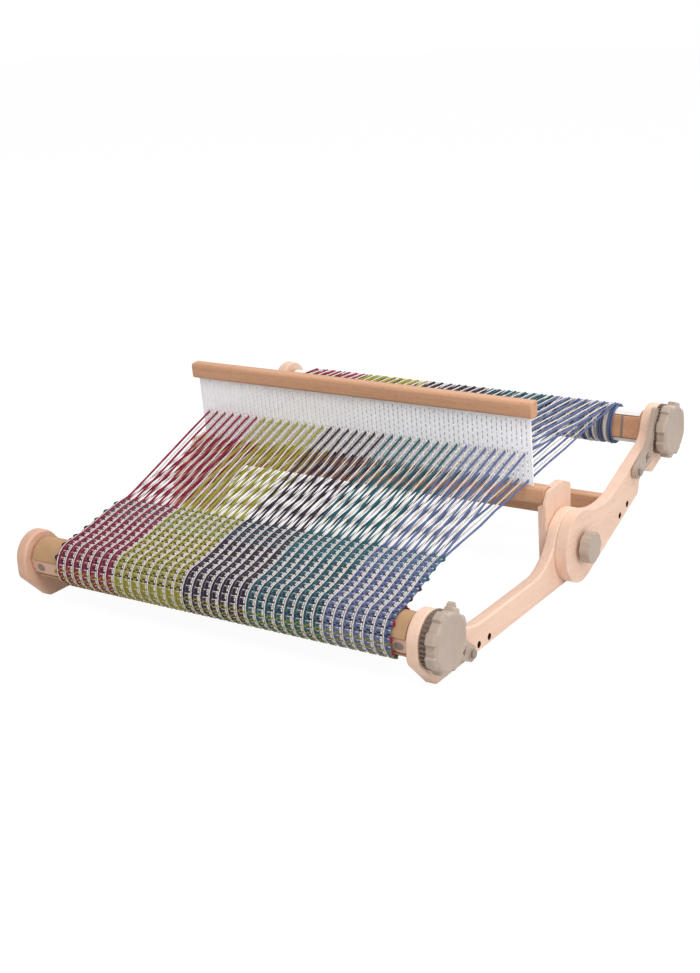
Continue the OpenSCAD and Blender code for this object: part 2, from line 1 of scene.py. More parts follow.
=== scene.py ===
"""Folding table loom: finishes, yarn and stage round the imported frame."""

import math
import bmesh
import bpy
import numpy as np
from bpy.props import FloatProperty, FloatVectorProperty, IntProperty, PointerProperty
from mathutils import Matrix, Vector


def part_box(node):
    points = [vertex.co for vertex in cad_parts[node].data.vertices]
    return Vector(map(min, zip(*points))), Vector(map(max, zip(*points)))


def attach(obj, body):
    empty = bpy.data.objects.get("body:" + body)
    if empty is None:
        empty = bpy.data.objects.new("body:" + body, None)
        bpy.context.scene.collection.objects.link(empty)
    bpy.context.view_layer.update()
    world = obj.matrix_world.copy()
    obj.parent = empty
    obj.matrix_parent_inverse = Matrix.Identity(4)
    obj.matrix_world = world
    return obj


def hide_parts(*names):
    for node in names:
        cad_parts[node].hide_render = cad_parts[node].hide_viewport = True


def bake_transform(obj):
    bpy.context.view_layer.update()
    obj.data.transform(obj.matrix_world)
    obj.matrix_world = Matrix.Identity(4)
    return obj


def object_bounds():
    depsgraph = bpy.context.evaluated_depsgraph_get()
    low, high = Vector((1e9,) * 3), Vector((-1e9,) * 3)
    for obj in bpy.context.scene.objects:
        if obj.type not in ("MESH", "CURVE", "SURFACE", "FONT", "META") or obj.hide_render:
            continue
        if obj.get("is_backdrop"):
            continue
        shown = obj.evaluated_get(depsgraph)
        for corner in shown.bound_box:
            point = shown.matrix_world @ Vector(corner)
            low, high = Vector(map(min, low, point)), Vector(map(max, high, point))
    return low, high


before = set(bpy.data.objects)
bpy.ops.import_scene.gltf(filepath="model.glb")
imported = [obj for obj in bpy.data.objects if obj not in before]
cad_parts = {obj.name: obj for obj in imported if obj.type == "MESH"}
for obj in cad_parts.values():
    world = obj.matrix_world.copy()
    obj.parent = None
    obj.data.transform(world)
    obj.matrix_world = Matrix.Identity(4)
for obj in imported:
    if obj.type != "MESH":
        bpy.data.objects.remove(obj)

bl_info = {
    "name": "Folding table loom",
    "version": (1, 0, 0),
    "blender": (4, 5, 0),
    "location": "View3D > Sidebar > Loom",
    "description": "Finishes, woven cloth, warp and stage for the folding table loom",
    "category": "Object",
}

MM = 0.001
CAD_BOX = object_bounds()


def middle(node):
    """Centre of a CAD node's box."""
    low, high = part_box(node)
    return (np.array(low) + np.array(high)) / 2


FOLD = middle("fold_bolt_right")
FRONT_AXIS = middle("front_axle_bolt")
BACK_AXIS = middle("back_axle_bolt")
MID_X = middle("heddle_top_rail")[0]
ARM_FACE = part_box("front_arm_right")[1][0]
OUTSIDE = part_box("back_arm_right")[1][0]
BACK_LEAN = 20.3
BACK_ANGLE = math.radians(BACK_LEAN)

# Stand holes, seen from the fold: middle of each pair along its arm, half their distance,
# height and the radius that takes in a hole's wall.
HOLES_AT = {"front": -0.2247, "back": 0.118}
HOLES_HALF, HOLES_Z, HOLE_WALL_R = 0.0121, -0.037, 0.0041


# ---------------------------------------------------------------- settings
def colour(name, description, value):
    """Colour property from the eight-bit values of a swatch."""
    return FloatVectorProperty(
        name=name, description=description, subtype="COLOR", size=3, min=0, max=1,
        default=linear(value),
    )


def length(name, description, value_mm):
    """Length property given in millimetres."""
    return FloatProperty(
        name=name, description=description, default=value_mm * MM, subtype="DISTANCE",
        unit="LENGTH", precision=5,
    )


def linear(swatch):
    """Scene-linear colour of an eight-bit swatch."""
    shares = [v / 255 for v in swatch]
    return tuple(v / 12.92 if v <= 0.04045 else ((v + 0.055) / 1.055) ** 2.4 for v in shares)


class LoomFinishes(bpy.types.PropertyGroup):
    """Colours of the wood, plastic, card and paper."""

    arm_wood: colour("Arm wood", "Raw beech of the arms and blocks", (236, 201, 179))
    rail_wood: colour("Rail wood", "Browner beech of the rails", (212, 161, 125))
    roller_wood: colour("Roller wood", "Wood of the rollers", (196, 150, 112))
    plastic: colour("Plastic", "Handles, pawls and knobs", (178, 159, 144))
    reed: colour("Reed", "Slotted plastic of the heddle", (253, 252, 255))
    steel: colour("Steel", "Bolts, pins and screws", (176, 174, 172))
    card: colour("Card", "Card round the cloth roller", (190, 150, 112))
    paper: colour("Paper", "Paper round the warp roller", (236, 234, 232))


class LoomYarns(bpy.types.PropertyGroup):
    """Yarn colours and sizes."""

    cream: colour("Cream", "Undyed yarn", (238, 231, 225))
    magenta: colour("Magenta", "First stripe", (144, 8, 54))
    lime: colour("Lime", "Second stripe", (160, 152, 40))
    purple: colour("Purple", "Third stripe", (38, 14, 46))
    teal: colour("Teal", "Fourth stripe", (18, 86, 98))
    blue: colour("Blue", "Fifth stripe", (92, 108, 150))
    warp_d: length("Warp thickness", "Thickness of a taut warp thread", 2.25)
    end_w: length("End width", "Width of a warp thread in the cloth", 3.1)
    end_h: length("End height", "Height of a warp thread in the cloth", 1.35)
    end_rise: length("End rise", "Rise of a warp thread over a weft thread", 0.6)
    pick_w: length("Pick width", "Width of a weft thread in the cloth", 2.2)
    pick_h: length("Pick height", "Height of a weft thread in the cloth", 1.2)
    pick_rise: length("Pick rise", "Rise of a weft thread over a warp thread", 0.8)
    pick_step: length("Pick spacing", "Distance between two rows of the cloth", 2.875)
    end_step: length("End spacing", "Distance between two warp threads in the cloth", 3.2375)
    seed: IntProperty(name="Seed", description="Seed of the yarn's unevenness", default=7)


class LoomStage(bpy.types.PropertyGroup):
    """Camera, lamps and floor."""

    lens: FloatProperty(name="Lens", description="Focal length", default=57.906, unit="CAMERA")
    key: FloatProperty(name="Key lamp", description="Power of the key lamp",
                       default=46.0, unit="POWER")
    fill: FloatProperty(name="Fill lamp", description="Power of the fill lamp",
                        default=17.0, unit="POWER")
    back: FloatProperty(name="Back lamp", description="Power of the back lamp",
                        default=34.0, unit="POWER")
    sky: FloatProperty(name="Sky", description="Strength of the even light", default=0.43)


def settings():
    """The scene's loom settings."""
    scene = bpy.context.scene
    return scene.loom_finishes, scene.loom_yarns, scene.loom_stage


# ---------------------------------------------------------------- node helpers
class Nodes:
    """Short way to add and join nodes of one tree."""

    def __init__(self, tree):
        self.tree = tree

    def add(self, kind, inputs=None, **values):
        """New node; inputs maps a socket's name or number to a value or another socket."""
        node = self.tree.nodes.new(kind)
        for key, value in values.items():
            setattr(node, key, value)
        for key, value in (inputs or {}).items():
            socket = node.inputs[key]
            if isinstance(value, bpy.types.NodeSocket):
                self.tree.links.new(value, socket)
            else:
                socket.default_value = value
        return node

    def math(self, operation, *values, clamp=False):
        """Output of a Math node."""
        return self.add("ShaderNodeMath", dict(enumerate(values)), operation=operation,
                        use_clamp=clamp).outputs[0]

    def mix(self, share, first, second, blend="MIX"):
        """Colour output of a Mix node."""
        node = self.add("ShaderNodeMix", {0: share, 6: first, 7: second}, data_type="RGBA",
                        blend_type=blend)
        return node.outputs[2]

    def noise(self, vector, scale, detail=2.0, roughness=0.5):
        """Value output of a Noise Texture."""
        return self.add("ShaderNodeTexNoise", {"Vector": vector, "Scale": scale, "Detail": detail,
                                               "Roughness": roughness}).outputs[0]

    def remap(self, value, low, high, to_low=0.0, to_high=1.0):
        """Value output of a Map Range node."""
        return self.add("ShaderNodeMapRange", {0: value, 1: low, 2: high, 3: to_low,
                                               4: to_high}).outputs[0]


def new_group(name, kind, inputs, outputs):
    """Node group with named sockets: its nodes, its inputs' and its outputs' sockets."""
    tree = bpy.data.node_groups.new(name, kind)
    for label, socket_kind, value in inputs:
        socket = tree.interface.new_socket(label, in_out="INPUT",
                                           socket_type="NodeSocket" + socket_kind)
        if value is not None:
            socket.default_value = value
    for label, socket_kind in outputs:
        tree.interface.new_socket(label, in_out="OUTPUT", socket_type="NodeSocket" + socket_kind)
    nodes = Nodes(tree)
    start, end = nodes.add("NodeGroupInput"), nodes.add("NodeGroupOutput")
    return nodes, start.outputs, end.inputs


def shader_group(name, inputs, outputs, build):
    """Shader node group; build fills it and gives its outputs' sources."""
    nodes, given, wanted = new_group(name, "ShaderNodeTree", inputs, outputs)
    for label, source in build(nodes, given).items():
        nodes.tree.links.new(source, wanted[label])
    return nodes.tree


def cleared(owner):
    """Empty node tree of a material or a world."""
    owner.use_nodes = True
    owner.node_tree.nodes.clear()
    return Nodes(owner.node_tree)


def grain(nodes, given):
    """Wood grain along X of the given vector: broad bands, fine streaks and short flecks."""
    flow = nodes.add("ShaderNodeMapping", {0: given["Vector"], 3: (2.2, 26.0, 26.0)}).outputs[0]
    warp = nodes.noise(flow, 1.0, 3.0, 0.55)
    streak = nodes.add("ShaderNodeMapping", {0: given["Vector"], 3: (9.0, 520.0, 520.0)}).outputs[0]
    fine = nodes.noise(streak, 1.0, 2.0, 0.6)
    dots = nodes.add("ShaderNodeMapping", {0: given["Vector"], 3: (120.0, 900.0, 900.0)}).outputs[0]
    fleck = nodes.remap(nodes.noise(dots, 1.0, 0.0), 0.66, 0.76)
    rings = nodes.math("FRACT", nodes.math("MULTIPLY", warp, given["Bands"]))
    rings = nodes.math("PINGPONG", rings, 0.5)
    rings = nodes.math("MULTIPLY", rings, 2.0)
    tone = nodes.math("MULTIPLY", nodes.remap(rings, 0.0, 1.0, 0.0, 0.55), given["Contrast"])
    tone = nodes.math("ADD", tone, nodes.math("MULTIPLY", nodes.remap(fine, 0.3, 0.75, 0.0, 0.5),
                                              given["Contrast"]), clamp=True)
    body = nodes.mix(tone, given["Light"], given["Dark"])
    body = nodes.mix(nodes.math("MULTIPLY", fleck, given["Flecks"]), body, given["Fleck colour"])
    rough = nodes.remap(fine, 0.2, 0.8, 0.44, 0.6)
    height = nodes.math("SUBTRACT", fine, nodes.math("MULTIPLY", fleck, 0.5))
    return {"Color": body, "Roughness": rough, "Height": height}


def mottle(nodes, given):
    """Moulded plastic: a soft mottling and a fine tooth."""
    broad = nodes.noise(given["Vector"], 55.0, 3.0)
    fine = nodes.noise(given["Vector"], 1600.0, 2.0)
    body = nodes.mix(nodes.remap(broad, 0.3, 0.7), given["Base"], given["Shade"])
    rough = nodes.remap(fine, 0.3, 0.7, 0.38, 0.5)
    return {"Color": body, "Roughness": rough, "Height": fine}


def plies(nodes, given):
    """Twisted yarn: ply lines that run round the thread, painted shade in the grooves between them,
    hairs and uneven dye.
    """
    ply = nodes.add("ShaderNodeAttribute", attribute_name="ply")
    parts = nodes.add("ShaderNodeSeparateXYZ", {0: ply.outputs["Vector"]}).outputs
    turn = nodes.math("MULTIPLY", parts[2], nodes.math("DIVIDE", 2 * math.pi, given["Pitch"]))
    line = nodes.math("ADD", nodes.math("MULTIPLY", nodes.math("SINE", turn), parts[0]),
                      nodes.math("MULTIPLY", nodes.math("COSINE", turn), parts[1]))
    ply_groove_shade_mask = nodes.remap(line, -1.0, -0.2, 1.0, 0.0)
    place = nodes.add("ShaderNodeTexCoord").outputs["Object"]
    hair = nodes.noise(place, 1900.0, 2.0)
    dye = nodes.noise(place, 130.0, 1.0)
    tint = nodes.add("ShaderNodeAttribute", attribute_name="tint").outputs["Color"]
    groove_shade = nodes.math("MULTIPLY", ply_groove_shade_mask, given["Groove"])
    fuzz = nodes.math("MULTIPLY", nodes.remap(hair, 0.35, 0.7), given["Fuzz"])
    tone = nodes.math("ADD", groove_shade, fuzz, clamp=True)
    # The tint is darkened in the grooves between the plies, as painted shade, and at random where
    # hairs lie.
    deep = nodes.mix(1.0, tint, (0.45, 0.42, 0.46, 1), blend="MULTIPLY")
    body = nodes.mix(tone, tint, deep)
    pale = nodes.mix(nodes.remap(dye, 0.45, 0.7, 0.0, 0.015), body, (0.85, 0.82, 0.8, 1))
    height = nodes.math("ADD", nodes.math("MULTIPLY", line, 0.6), hair)
    return {"Color": pale, "Height": height}


GROUPS = {}
MATERIALS = {}


def make_groups():
    """The three shader groups that the materials share."""
    three = [("Color", "Color"), ("Roughness", "Float"), ("Height", "Float")]
    GROUPS["grain"] = shader_group(
        "Wood grain",
        [("Vector", "Vector", None), ("Light", "Color", (0.8, 0.6, 0.5, 1)),
         ("Dark", "Color", (0.6, 0.4, 0.3, 1)), ("Fleck colour", "Color", (0.4, 0.2, 0.1, 1)),
         ("Bands", "Float", 5.0), ("Contrast", "Float", 1.0), ("Flecks", "Float", 0.5)],
        three, grain)
    GROUPS["mottle"] = shader_group(
        "Moulded plastic",
        [("Vector", "Vector", None), ("Base", "Color", (0.5, 0.4, 0.3, 1)),
         ("Shade", "Color", (0.4, 0.3, 0.3, 1))], three, mottle)
    GROUPS["plies"] = shader_group(
        "Twisted yarn",
        [("Pitch", "Float", 0.004), ("Groove", "Float", 0.5), ("Fuzz", "Float", 0.3)],
        [("Color", "Color"), ("Height", "Float")], plies)


def times(base, *shares):
    """A colour with its channels scaled, by one share or by three."""
    return tuple(v * w for v, w in zip(base, shares * (3 // len(shares))))


def finish(name, group, inputs, bump, distance, vector=None, **constants):
    """Material that feeds one group into a Principled BSDF; its constants are set on the shader."""
    material = bpy.data.materials.new(name)
    nodes = cleared(material)
    tree = nodes.tree
    shader = nodes.add("ShaderNodeBsdfPrincipled")
    nodes.add("ShaderNodeOutputMaterial", {0: shader.outputs[0]})
    made = nodes.add("ShaderNodeGroup", node_tree=GROUPS[group])
    if vector is not None:
        place = nodes.add("ShaderNodeTexCoord").outputs["Object"]
        turn, centre = vector
        mapped = nodes.add("ShaderNodeMapping", {0: place, 1: centre, 2: turn}).outputs[0]
        tree.links.new(mapped, made.inputs["Vector"])
    for key, value in inputs.items():
        made.inputs[key].default_value = value
    tree.links.new(made.outputs["Color"], shader.inputs["Base Color"])
    if "Roughness" in made.outputs and "Roughness" not in constants:
        tree.links.new(made.outputs["Roughness"], shader.inputs["Roughness"])
    for key, value in constants.items():
        shader.inputs[key].default_value = value
    relief = nodes.add("ShaderNodeBump", {"Strength": bump, "Distance": distance,
                                          "Height": made.outputs["Height"]}).outputs[0]
    tree.links.new(relief, shader.inputs["Normal"])
    MATERIALS[name] = material


FLAT = (0.0, 0.0, 0.0)
ALONG_Y = (0.0, 0.0, math.radians(90))
ALONG_BACK_ARM = (0.0, -BACK_ANGLE, math.radians(90))
UPRIGHT = (0.0, math.radians(90), 0.0)


def wood(name, base, turn, offset, contrast, flecks, bands=5.0, dark=0.86):
    """Wood finish with its grain turned and shifted for one kind of piece."""
    base = tuple(base)
    inputs = {"Light": base + (1.0,), "Dark": times(base, dark, dark * 0.95, dark * 0.9) + (1.0,),
              "Fleck colour": times(base, 0.5) + (1.0,), "Bands": bands, "Contrast": contrast,
              "Flecks": flecks}
    finish(name, "grain", inputs, 0.25, 0.0002, (turn, offset))


def plain(name, base, bump, distance, dark=0.9, **more):
    """Plastic, metal, card or paper finish."""
    inputs = {"Base": tuple(base) + (1.0,), "Shade": times(base, dark) + (1.0,)}
    finish(name, "mottle", inputs, bump, distance, (FLAT, FLAT), **more)


def make_materials():
    """Every finish of the loom."""
    colours = settings()[0]
    beech, rail, plastic = colours.arm_wood, colours.rail_wood, colours.plastic
    wood("arm_beech", beech, ALONG_Y, FLAT, 0.7, 0.35)
    # Darker copy of the arm beech for the left arms: painted shade, not a different wood.
    wood("dark_arm_beech", times(beech, 0.86, 0.76, 0.7), ALONG_Y, (0.2, 0.1, 0.0), 0.7, 0.35)
    wood("back_arm_beech", beech, ALONG_BACK_ARM, (0.3, 0.1, 0.2), 0.7, 0.35)
    wood("block_beech", beech, UPRIGHT, (0.1, 0.2, 0.3), 0.7, 0.3, dark=0.84)
    wood("rail_beech", rail, FLAT, (0.0, 0.3, 0.1), 0.9, 0.4, 4.0, 0.78)
    wood("roller_wood", colours.roller_wood, FLAT, (0.2, 0.5, 0.1), 0.9, 0.4, 4.0, 0.76)
    wood("stick_pink", times(beech, 0.92, 0.8, 0.76), FLAT, (0.5, 0.1, 0.2), 0.6, 0.3, 4.0, 0.85)
    plain("taupe_plastic", plastic, 0.12, 0.0001)
    plain("plug_plastic", times(plastic, 0.62), 0.1, 0.0001)
    # Darker copy of the handle plastic for the ratchet wheels: painted shade for the gap under the
    # bell.
    plain("shaded_plastic", times(plastic, 0.4, 0.36, 0.32), 0.1, 0.0001)
    # Near-black wood for the stand holes' walls: painted shade, not a different wood.
    plain("bore_wood", times(rail, 0.08), 0.1, 0.0001)
    plain("reed_plastic", colours.reed, 0.05, 0.0001, 0.98, Roughness=0.32,
          **{"Subsurface Weight": 0.25, "Subsurface Radius": (0.01, 0.01, 0.01),
             "Subsurface Scale": 1.0})
    plain("steel", colours.steel, 0.08, 0.00005, 0.8, Metallic=0.9)
    plain("card", colours.card, 0.3, 0.0002, 0.88, Roughness=0.85)
    plain("paper", colours.paper, 0.1, 0.0001, 0.96, Roughness=0.8)
    fuzzy = {"Roughness": 0.9, "Sheen Weight": 0.03, "Sheen Roughness": 0.5}
    finish("warp_yarn", "plies", {"Pitch": 0.0042, "Groove": 0.28, "Fuzz": 0.3}, 0.4, 0.0003,
           **fuzzy)
    finish("cloth_yarn", "plies", {"Pitch": 0.0055, "Groove": 0.5, "Fuzz": 0.35}, 0.7, 0.0004,
           **fuzzy)


# ---------------------------------------------------------------- mesh helpers
def add_object(name, mesh, material=None):
    """Object of a mesh, linked to the scene, with one material if it is named."""
    piece = bpy.data.objects.new(name, mesh)
    bpy.context.scene.collection.objects.link(piece)
    if material is not None:
        mesh.materials.clear()
        mesh.materials.append(MATERIALS[material])
    return piece


def plain_mesh(piece):
    """Applies an object's modifiers and takes them off."""
    graph = bpy.context.evaluated_depsgraph_get()
    mesh = bpy.data.meshes.new_from_object(piece.evaluated_get(graph))
    piece.modifiers.clear()
    piece.data = mesh
    return piece


def joined(objects, name):
    """Joins made objects into one."""
    bpy.ops.object.select_all(action="DESELECT")
    for obj in objects:
        obj.select_set(True)
    bpy.context.view_layer.objects.active = objects[0]
    bpy.ops.object.join()
    objects[0].name = name
    return objects[0]


def shell(name, points, faces, material, smooth=True):
    """Object from points and faces, with its doubles merged and its faces turned outwards."""
    mesh = bpy.data.meshes.new(name)
    mesh.from_pydata([tuple(p) for p in points], [], faces)
    made = bmesh.new()
    made.from_mesh(mesh)
    bmesh.ops.remove_doubles(made, verts=made.verts, dist=1e-6)
    bmesh.ops.recalc_face_normals(made, faces=made.faces)
    made.to_mesh(mesh)
    made.free()
    if smooth:
        mesh.shade_smooth()
    else:
        mesh.shade_flat()
    return add_object(name, mesh, material)


def edge_loops(edges):
    """Edges gathered into connected runs."""
    left = set(edges)
    while left:
        run, todo = [], [left.pop()]
        while todo:
            edge = todo.pop()
            run.append(edge)
            for vert in edge.verts:
                for other in vert.link_edges:
                    if other in left:
                        left.discard(other)
                        todo.append(other)
        yield run


SHARP_EDGE, SHARP_SHADE, RIM_SPREAD = math.radians(30), math.radians(42), 26 * MM


def soften(name, node, material, radius, small):
    """Piece that stands for a CAD node: a merged copy with its sharp edges rounded.

    Runs of edges that stay close together, such as a hole's rim, get the small radius. Both
    radii are in millimetres.
    """
    made = bmesh.new()
    made.from_mesh(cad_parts[node].data)
    bmesh.ops.remove_doubles(made, verts=made.verts, dist=2e-6)
    bmesh.ops.dissolve_limit(made, angle_limit=math.radians(1.0), verts=made.verts,
                             edges=made.edges)
    sharp = [e for e in made.edges
             if len(e.link_faces) == 2 and e.calc_face_angle(0) > SHARP_EDGE]
    wide, narrow = [], []
    for run in edge_loops(sharp):
        places = np.array([v.co for e in run for v in e.verts])
        spread = np.linalg.norm(places.max(0) - places.min(0))
        (narrow if spread < RIM_SPREAD else wide).extend(run)
    for edges, offset in ((wide, radius), (narrow, small)):
        edges = [e for e in edges if e.is_valid]
        if edges:
            bmesh.ops.bevel(made, geom=edges, offset=offset * MM, segments=3, profile=0.5,
                            affect="EDGES", clamp_overlap=True)
    mesh = bpy.data.meshes.new(name)
    made.to_mesh(mesh)
    made.free()
    mesh.shade_smooth()
    mesh.set_sharp_from_angle(angle=SHARP_SHADE)
    piece = add_object(name, mesh, material)
    piece.modifiers.new("Even shading", "WEIGHTED_NORMAL").keep_sharp = True
    plain_mesh(piece)
    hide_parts(node)
    return piece


def belong(piece, body, slot):
    """Rides a piece on its body; slot is not used."""
    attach(piece, body)


def soften_all(rows):
    """Softens CAD nodes: piece, node, finish, radius, small radius, body and slot in each row."""
    for name, node, material, radius, small, body, slot in rows:
        belong(soften(name, node, material, radius, small), body, slot)


def paint_bore_shade(piece, turn, reach):
    """Paints the walls of an arm's stand holes near-black, as painted shade inside the deep bores.
    """
    piece.data.materials.append(MATERIALS["bore_wood"])
    c, s = math.cos(turn), math.sin(turn)
    holes = [(reach - HOLES_HALF, HOLES_Z), (reach + HOLES_HALF, HOLES_Z)]
    centres = [(FOLD[1] + y * c - z * s, FOLD[2] + y * s + z * c) for y, z in holes]
    for face in piece.data.polygons:
        _, y, z = face.center
        if any(math.hypot(y - a, z - b) < HOLE_WALL_R for a, b in centres):
            face.material_index = 1


def lathe(axis, profile, turns, x0, radius_of=None):
    """Points and faces of a turned shape along X.

    profile lists (x, r, lobe); radius_of(angle, r, lobe) gives the radius at an angle.
    """
    points, faces = [], []
    rows = len(profile)
    for x, r, lobe in profile:
        for k in range(turns):
            a = 2 * math.pi * k / turns
            radius = radius_of(a, r, lobe) if radius_of else r
            points.append((x0 + x, axis[1] + radius * math.cos(a), axis[2] + radius * math.sin(a)))
    for row in range(rows - 1):
        for k in range(turns):
            n = (k + 1) % turns
            faces.append((row * turns + k, row * turns + n, (row + 1) * turns + n,
                          (row + 1) * turns + k))
    faces.append(tuple(range(turns)))
    faces.append(tuple((rows - 1) * turns + k for k in range(turns)))
    return points, faces


# ---------------------------------------------------------------- geometry nodes
def thread_tree(name, upright):
    """Tree that sweeps an oval thread along guide lines and keeps their tint.

    It stores "ply": the place round the thread, and the distance along it.
    """
    nodes, start, end = new_group(name, "GeometryNodeTree", [
        ("Geometry", "Geometry", None), ("Width", "Float", 0.002), ("Height", "Float", 0.001),
        ("Sides", "Int", 6), ("Seed", "Int", 1), ("Unevenness", "Float", 0.05),
        ("Material", "Material", None)], [("Geometry", "Geometry")])

    def then(kind, geometry, inputs=None, **values):
        """Next geometry node on the way."""
        return nodes.add("GeometryNode" + kind, {0: geometry, **(inputs or {})},
                         **values).outputs[0]

    def store(geometry, label, value, kind="FLOAT"):
        """Keeps a value on the points under a label."""
        return then("StoreNamedAttribute", geometry, {"Name": label, "Value": value},
                    data_type=kind, domain="POINT")

    def stored(label, kind="FLOAT"):
        """Value kept under a label."""
        return nodes.add("GeometryNodeInputNamedAttribute", {0: label}, data_type=kind).outputs[0]

    line = then("MeshToCurve", start["Geometry"])
    line = then("SetCurveNormal", line, mode="Z_UP" if upright else "MINIMUM_TWIST")
    line = then("SetCurveTilt", line, {"Tilt": stored("tilt")})
    uneven_share = nodes.add("FunctionNodeRandomValue", {
        2: nodes.math("SUBTRACT", 1.0, start["Unevenness"]),
        3: nodes.math("ADD", 1.0, start["Unevenness"]), "Seed": start["Seed"]},
        data_type="FLOAT").outputs[1]
    girth = nodes.math("MULTIPLY", uneven_share, stored("girth"))
    line = then("SetCurveRadius", line, {"Radius": girth})
    line = store(line, "along", nodes.add("GeometryNodeSplineParameter").outputs["Length"])
    ring = nodes.add("GeometryNodeCurvePrimitiveCircle", {
        "Resolution": start["Sides"], "Radius": 1.0}).outputs[0]
    place = nodes.add("GeometryNodeInputPosition").outputs[0]
    ring = store(ring, "round", place, "FLOAT_VECTOR")
    half_w = nodes.math("MULTIPLY", start["Width"], 0.5)
    half_h = nodes.math("MULTIPLY", start["Height"], 0.5)
    oval = nodes.add("ShaderNodeCombineXYZ", {0: half_w, 1: half_h, 2: 1.0}).outputs[0]
    ring = then("Transform", ring, {"Scale": oval})
    radius = nodes.add("GeometryNodeInputRadius").outputs[0]
    solid = then("CurveToMesh", line, {"Profile Curve": ring, "Scale": radius, "Fill Caps": True})
    around = nodes.add("ShaderNodeSeparateXYZ", {0: stored("round", "FLOAT_VECTOR")}).outputs
    ply = nodes.add("ShaderNodeCombineXYZ", {0: around[0], 1: around[1], 2: stored("along")})
    solid = store(solid, "ply", ply.outputs[0], "FLOAT_VECTOR")
    for label in ("round", "along", "tilt", "girth"):
        solid = then("RemoveAttribute", solid, {"Name": label})
    solid = then("SetShadeSmooth", solid)
    solid = then("RealizeInstances", solid)
    solid = then("SetMaterial", solid, {"Material": start["Material"]})
    nodes.tree.links.new(solid, end["Geometry"])
    return nodes.tree


def run_tree(name, tree, guide, inputs):
    """Runs a geometry tree on a guide mesh and gives the plain result as an object."""
    piece = add_object(name, guide)
    modifier = piece.modifiers.new(tree.name, "NODES")
    modifier.node_group = tree
    for item in tree.interface.items_tree:
        if item.item_type == "SOCKET" and item.in_out == "INPUT" and item.name in inputs:
            modifier[item.identifier] = inputs[item.name]
    return plain_mesh(piece)


def store_tint(mesh, values):
    """Stores one RGBA colour for each point of a mesh."""
    tint = mesh.attributes.new("tint", "FLOAT_COLOR", "POINT")
    tint.data.foreach_set("color", values.astype(np.float32).ravel())


def guide_mesh(name, lines, tints, tilts=None, girths=None, closed=False):
    """Guide lines as loose edges: each line is an array of points with a colour for each."""
    points = np.concatenate(lines)
    edges, first = [], 0
    for line in lines:
        count = len(line)
        edges.extend((first + k, first + k + 1) for k in range(count - 1))
        if closed:
            edges.append((first + count - 1, first))
        first += count
    mesh = bpy.data.meshes.new(name)
    mesh.from_pydata(points.tolist(), edges, [])
    store_tint(mesh, np.concatenate(tints))
    for label, runs, plain_value in (("tilt", tilts, 0.0), ("girth", girths, 1.0)):
        item = mesh.attributes.new(label, "FLOAT", "POINT")
        values = np.full(len(points), plain_value) if runs is None else np.concatenate(runs)
        item.data.foreach_set("value", values.astype(np.float32))
    return mesh


# ---------------------------------------------------------------- yarn layout
# Warp threads are numbered from the middle one; rows, or picks, from the last one woven.
LAST = 73
ENDS = np.arange(-LAST, LAST + 1)
FIRST_DYED = -72
HEDDLE_STEP = 3.3333 * MM
STRIPES = ("magenta",) * 7 + ("lime",) * 8 + ("purple",) * 7 + ("teal",) * 8 + ("blue",) * 7
WEFT_STRIPES = ("teal",) * 5 + ("purple",) * 10 + ("lime",) * 5
FELL = np.array([-0.2220 + FOLD[1], 0.0520 + FOLD[2]])
FIRST_PICK = -0.00304
PICK_SKEW = 0.000022
CLOTH_R = 0.0281
FELL_X = MID_X - 0.0004
ROLL_X = MID_X + 0.0131
WARP_R = 0.0268
TURN_PICKS = 78
LOOP_D = 0.0026
GROUND_LIFT = 0.0002
FLAT_GROUND_ROWS, ROUND_GROUND_ROWS = 24, 64
# Shares of the yarn's colour kept by the sheets under the cloth and under the wound warp; the rest
# is painted shade between the yarns.
GROUND_SHADE_SHARE, CORE_SHADE_SHARE = 0.45, 0.5

# Kinds of warp thread in turn: two coloured and two cream. OVER is 1 where a thread passes over
# the rows of one repeat and -1 where it passes under; shifts are in thread spacings.
OVER = np.array([[1, -1, 1, 1], [-1, 1, -1, 1], [1, -1, 1, -1], [1, 1, 1, 1]])
END_SHIFT = (-0.3, 0.0, 0.22, 0.03)
END_GIRTH = (1.0, 1.4, 0.7, 0.56)
DYED_PICK_GIRTH, FLAT_CREAM_GIRTH, ROLL_CREAM_GIRTH = 1.25, 0.72, 0.75
DYED_WARP_GIRTH, CREAM_WARP_GIRTH = 1.25, 0.8


def dye(name):
    """RGBA of a yarn."""
    return np.array(tuple(getattr(settings()[1], name)) + (1.0,))


def end_kind(i):
    """Kind of warp thread i, 0 to 3."""
    return (i - FIRST_DYED) % 4


def end_dye(i):
    """Yarn of warp thread i: two coloured and two cream, in five stripes."""
    if i < FIRST_DYED or end_kind(i) > 1:
        return "cream"
    return STRIPES[(i - FIRST_DYED) // 4]


def pick_dye(j):
    """Yarn of weft row j: two coloured and two cream."""
    if j % 4 > 1:
        return "cream"
    return WEFT_STRIPES[j // 4] if j // 4 < len(WEFT_STRIPES) else "magenta"


def cloth_path():
    """Tangent point, direction, length and first angle of the cloth's way onto its roller."""
    centre = FRONT_AXIS[1:]
    gap = FELL - centre
    reach = np.linalg.norm(gap)
    run = math.sqrt(reach ** 2 - CLOTH_R ** 2)
    angle = math.atan2(gap[1], gap[0]) + math.acos(CLOTH_R / reach)
    touch = centre + CLOTH_R * np.array([math.cos(angle), math.sin(angle)])
    return touch, (touch - FELL) / run, run, angle


def on_cloth(s, lift):
    """Places (Y, Z) at distances s along the cloth, lifted off its middle by lift."""
    _, way, run, angle = cloth_path()
    normal = np.array([way[1], -way[0]])
    flat = FELL + np.outer(np.minimum(s, run), way) + np.outer(lift, normal)
    a = angle + np.maximum(s - run, 0) / CLOTH_R
    radius = CLOTH_R + lift
    bent = FRONT_AXIS[1:] + np.stack([radius * np.cos(a), radius * np.sin(a)], 1)
    return np.where((s <= run)[:, None], flat, bent)


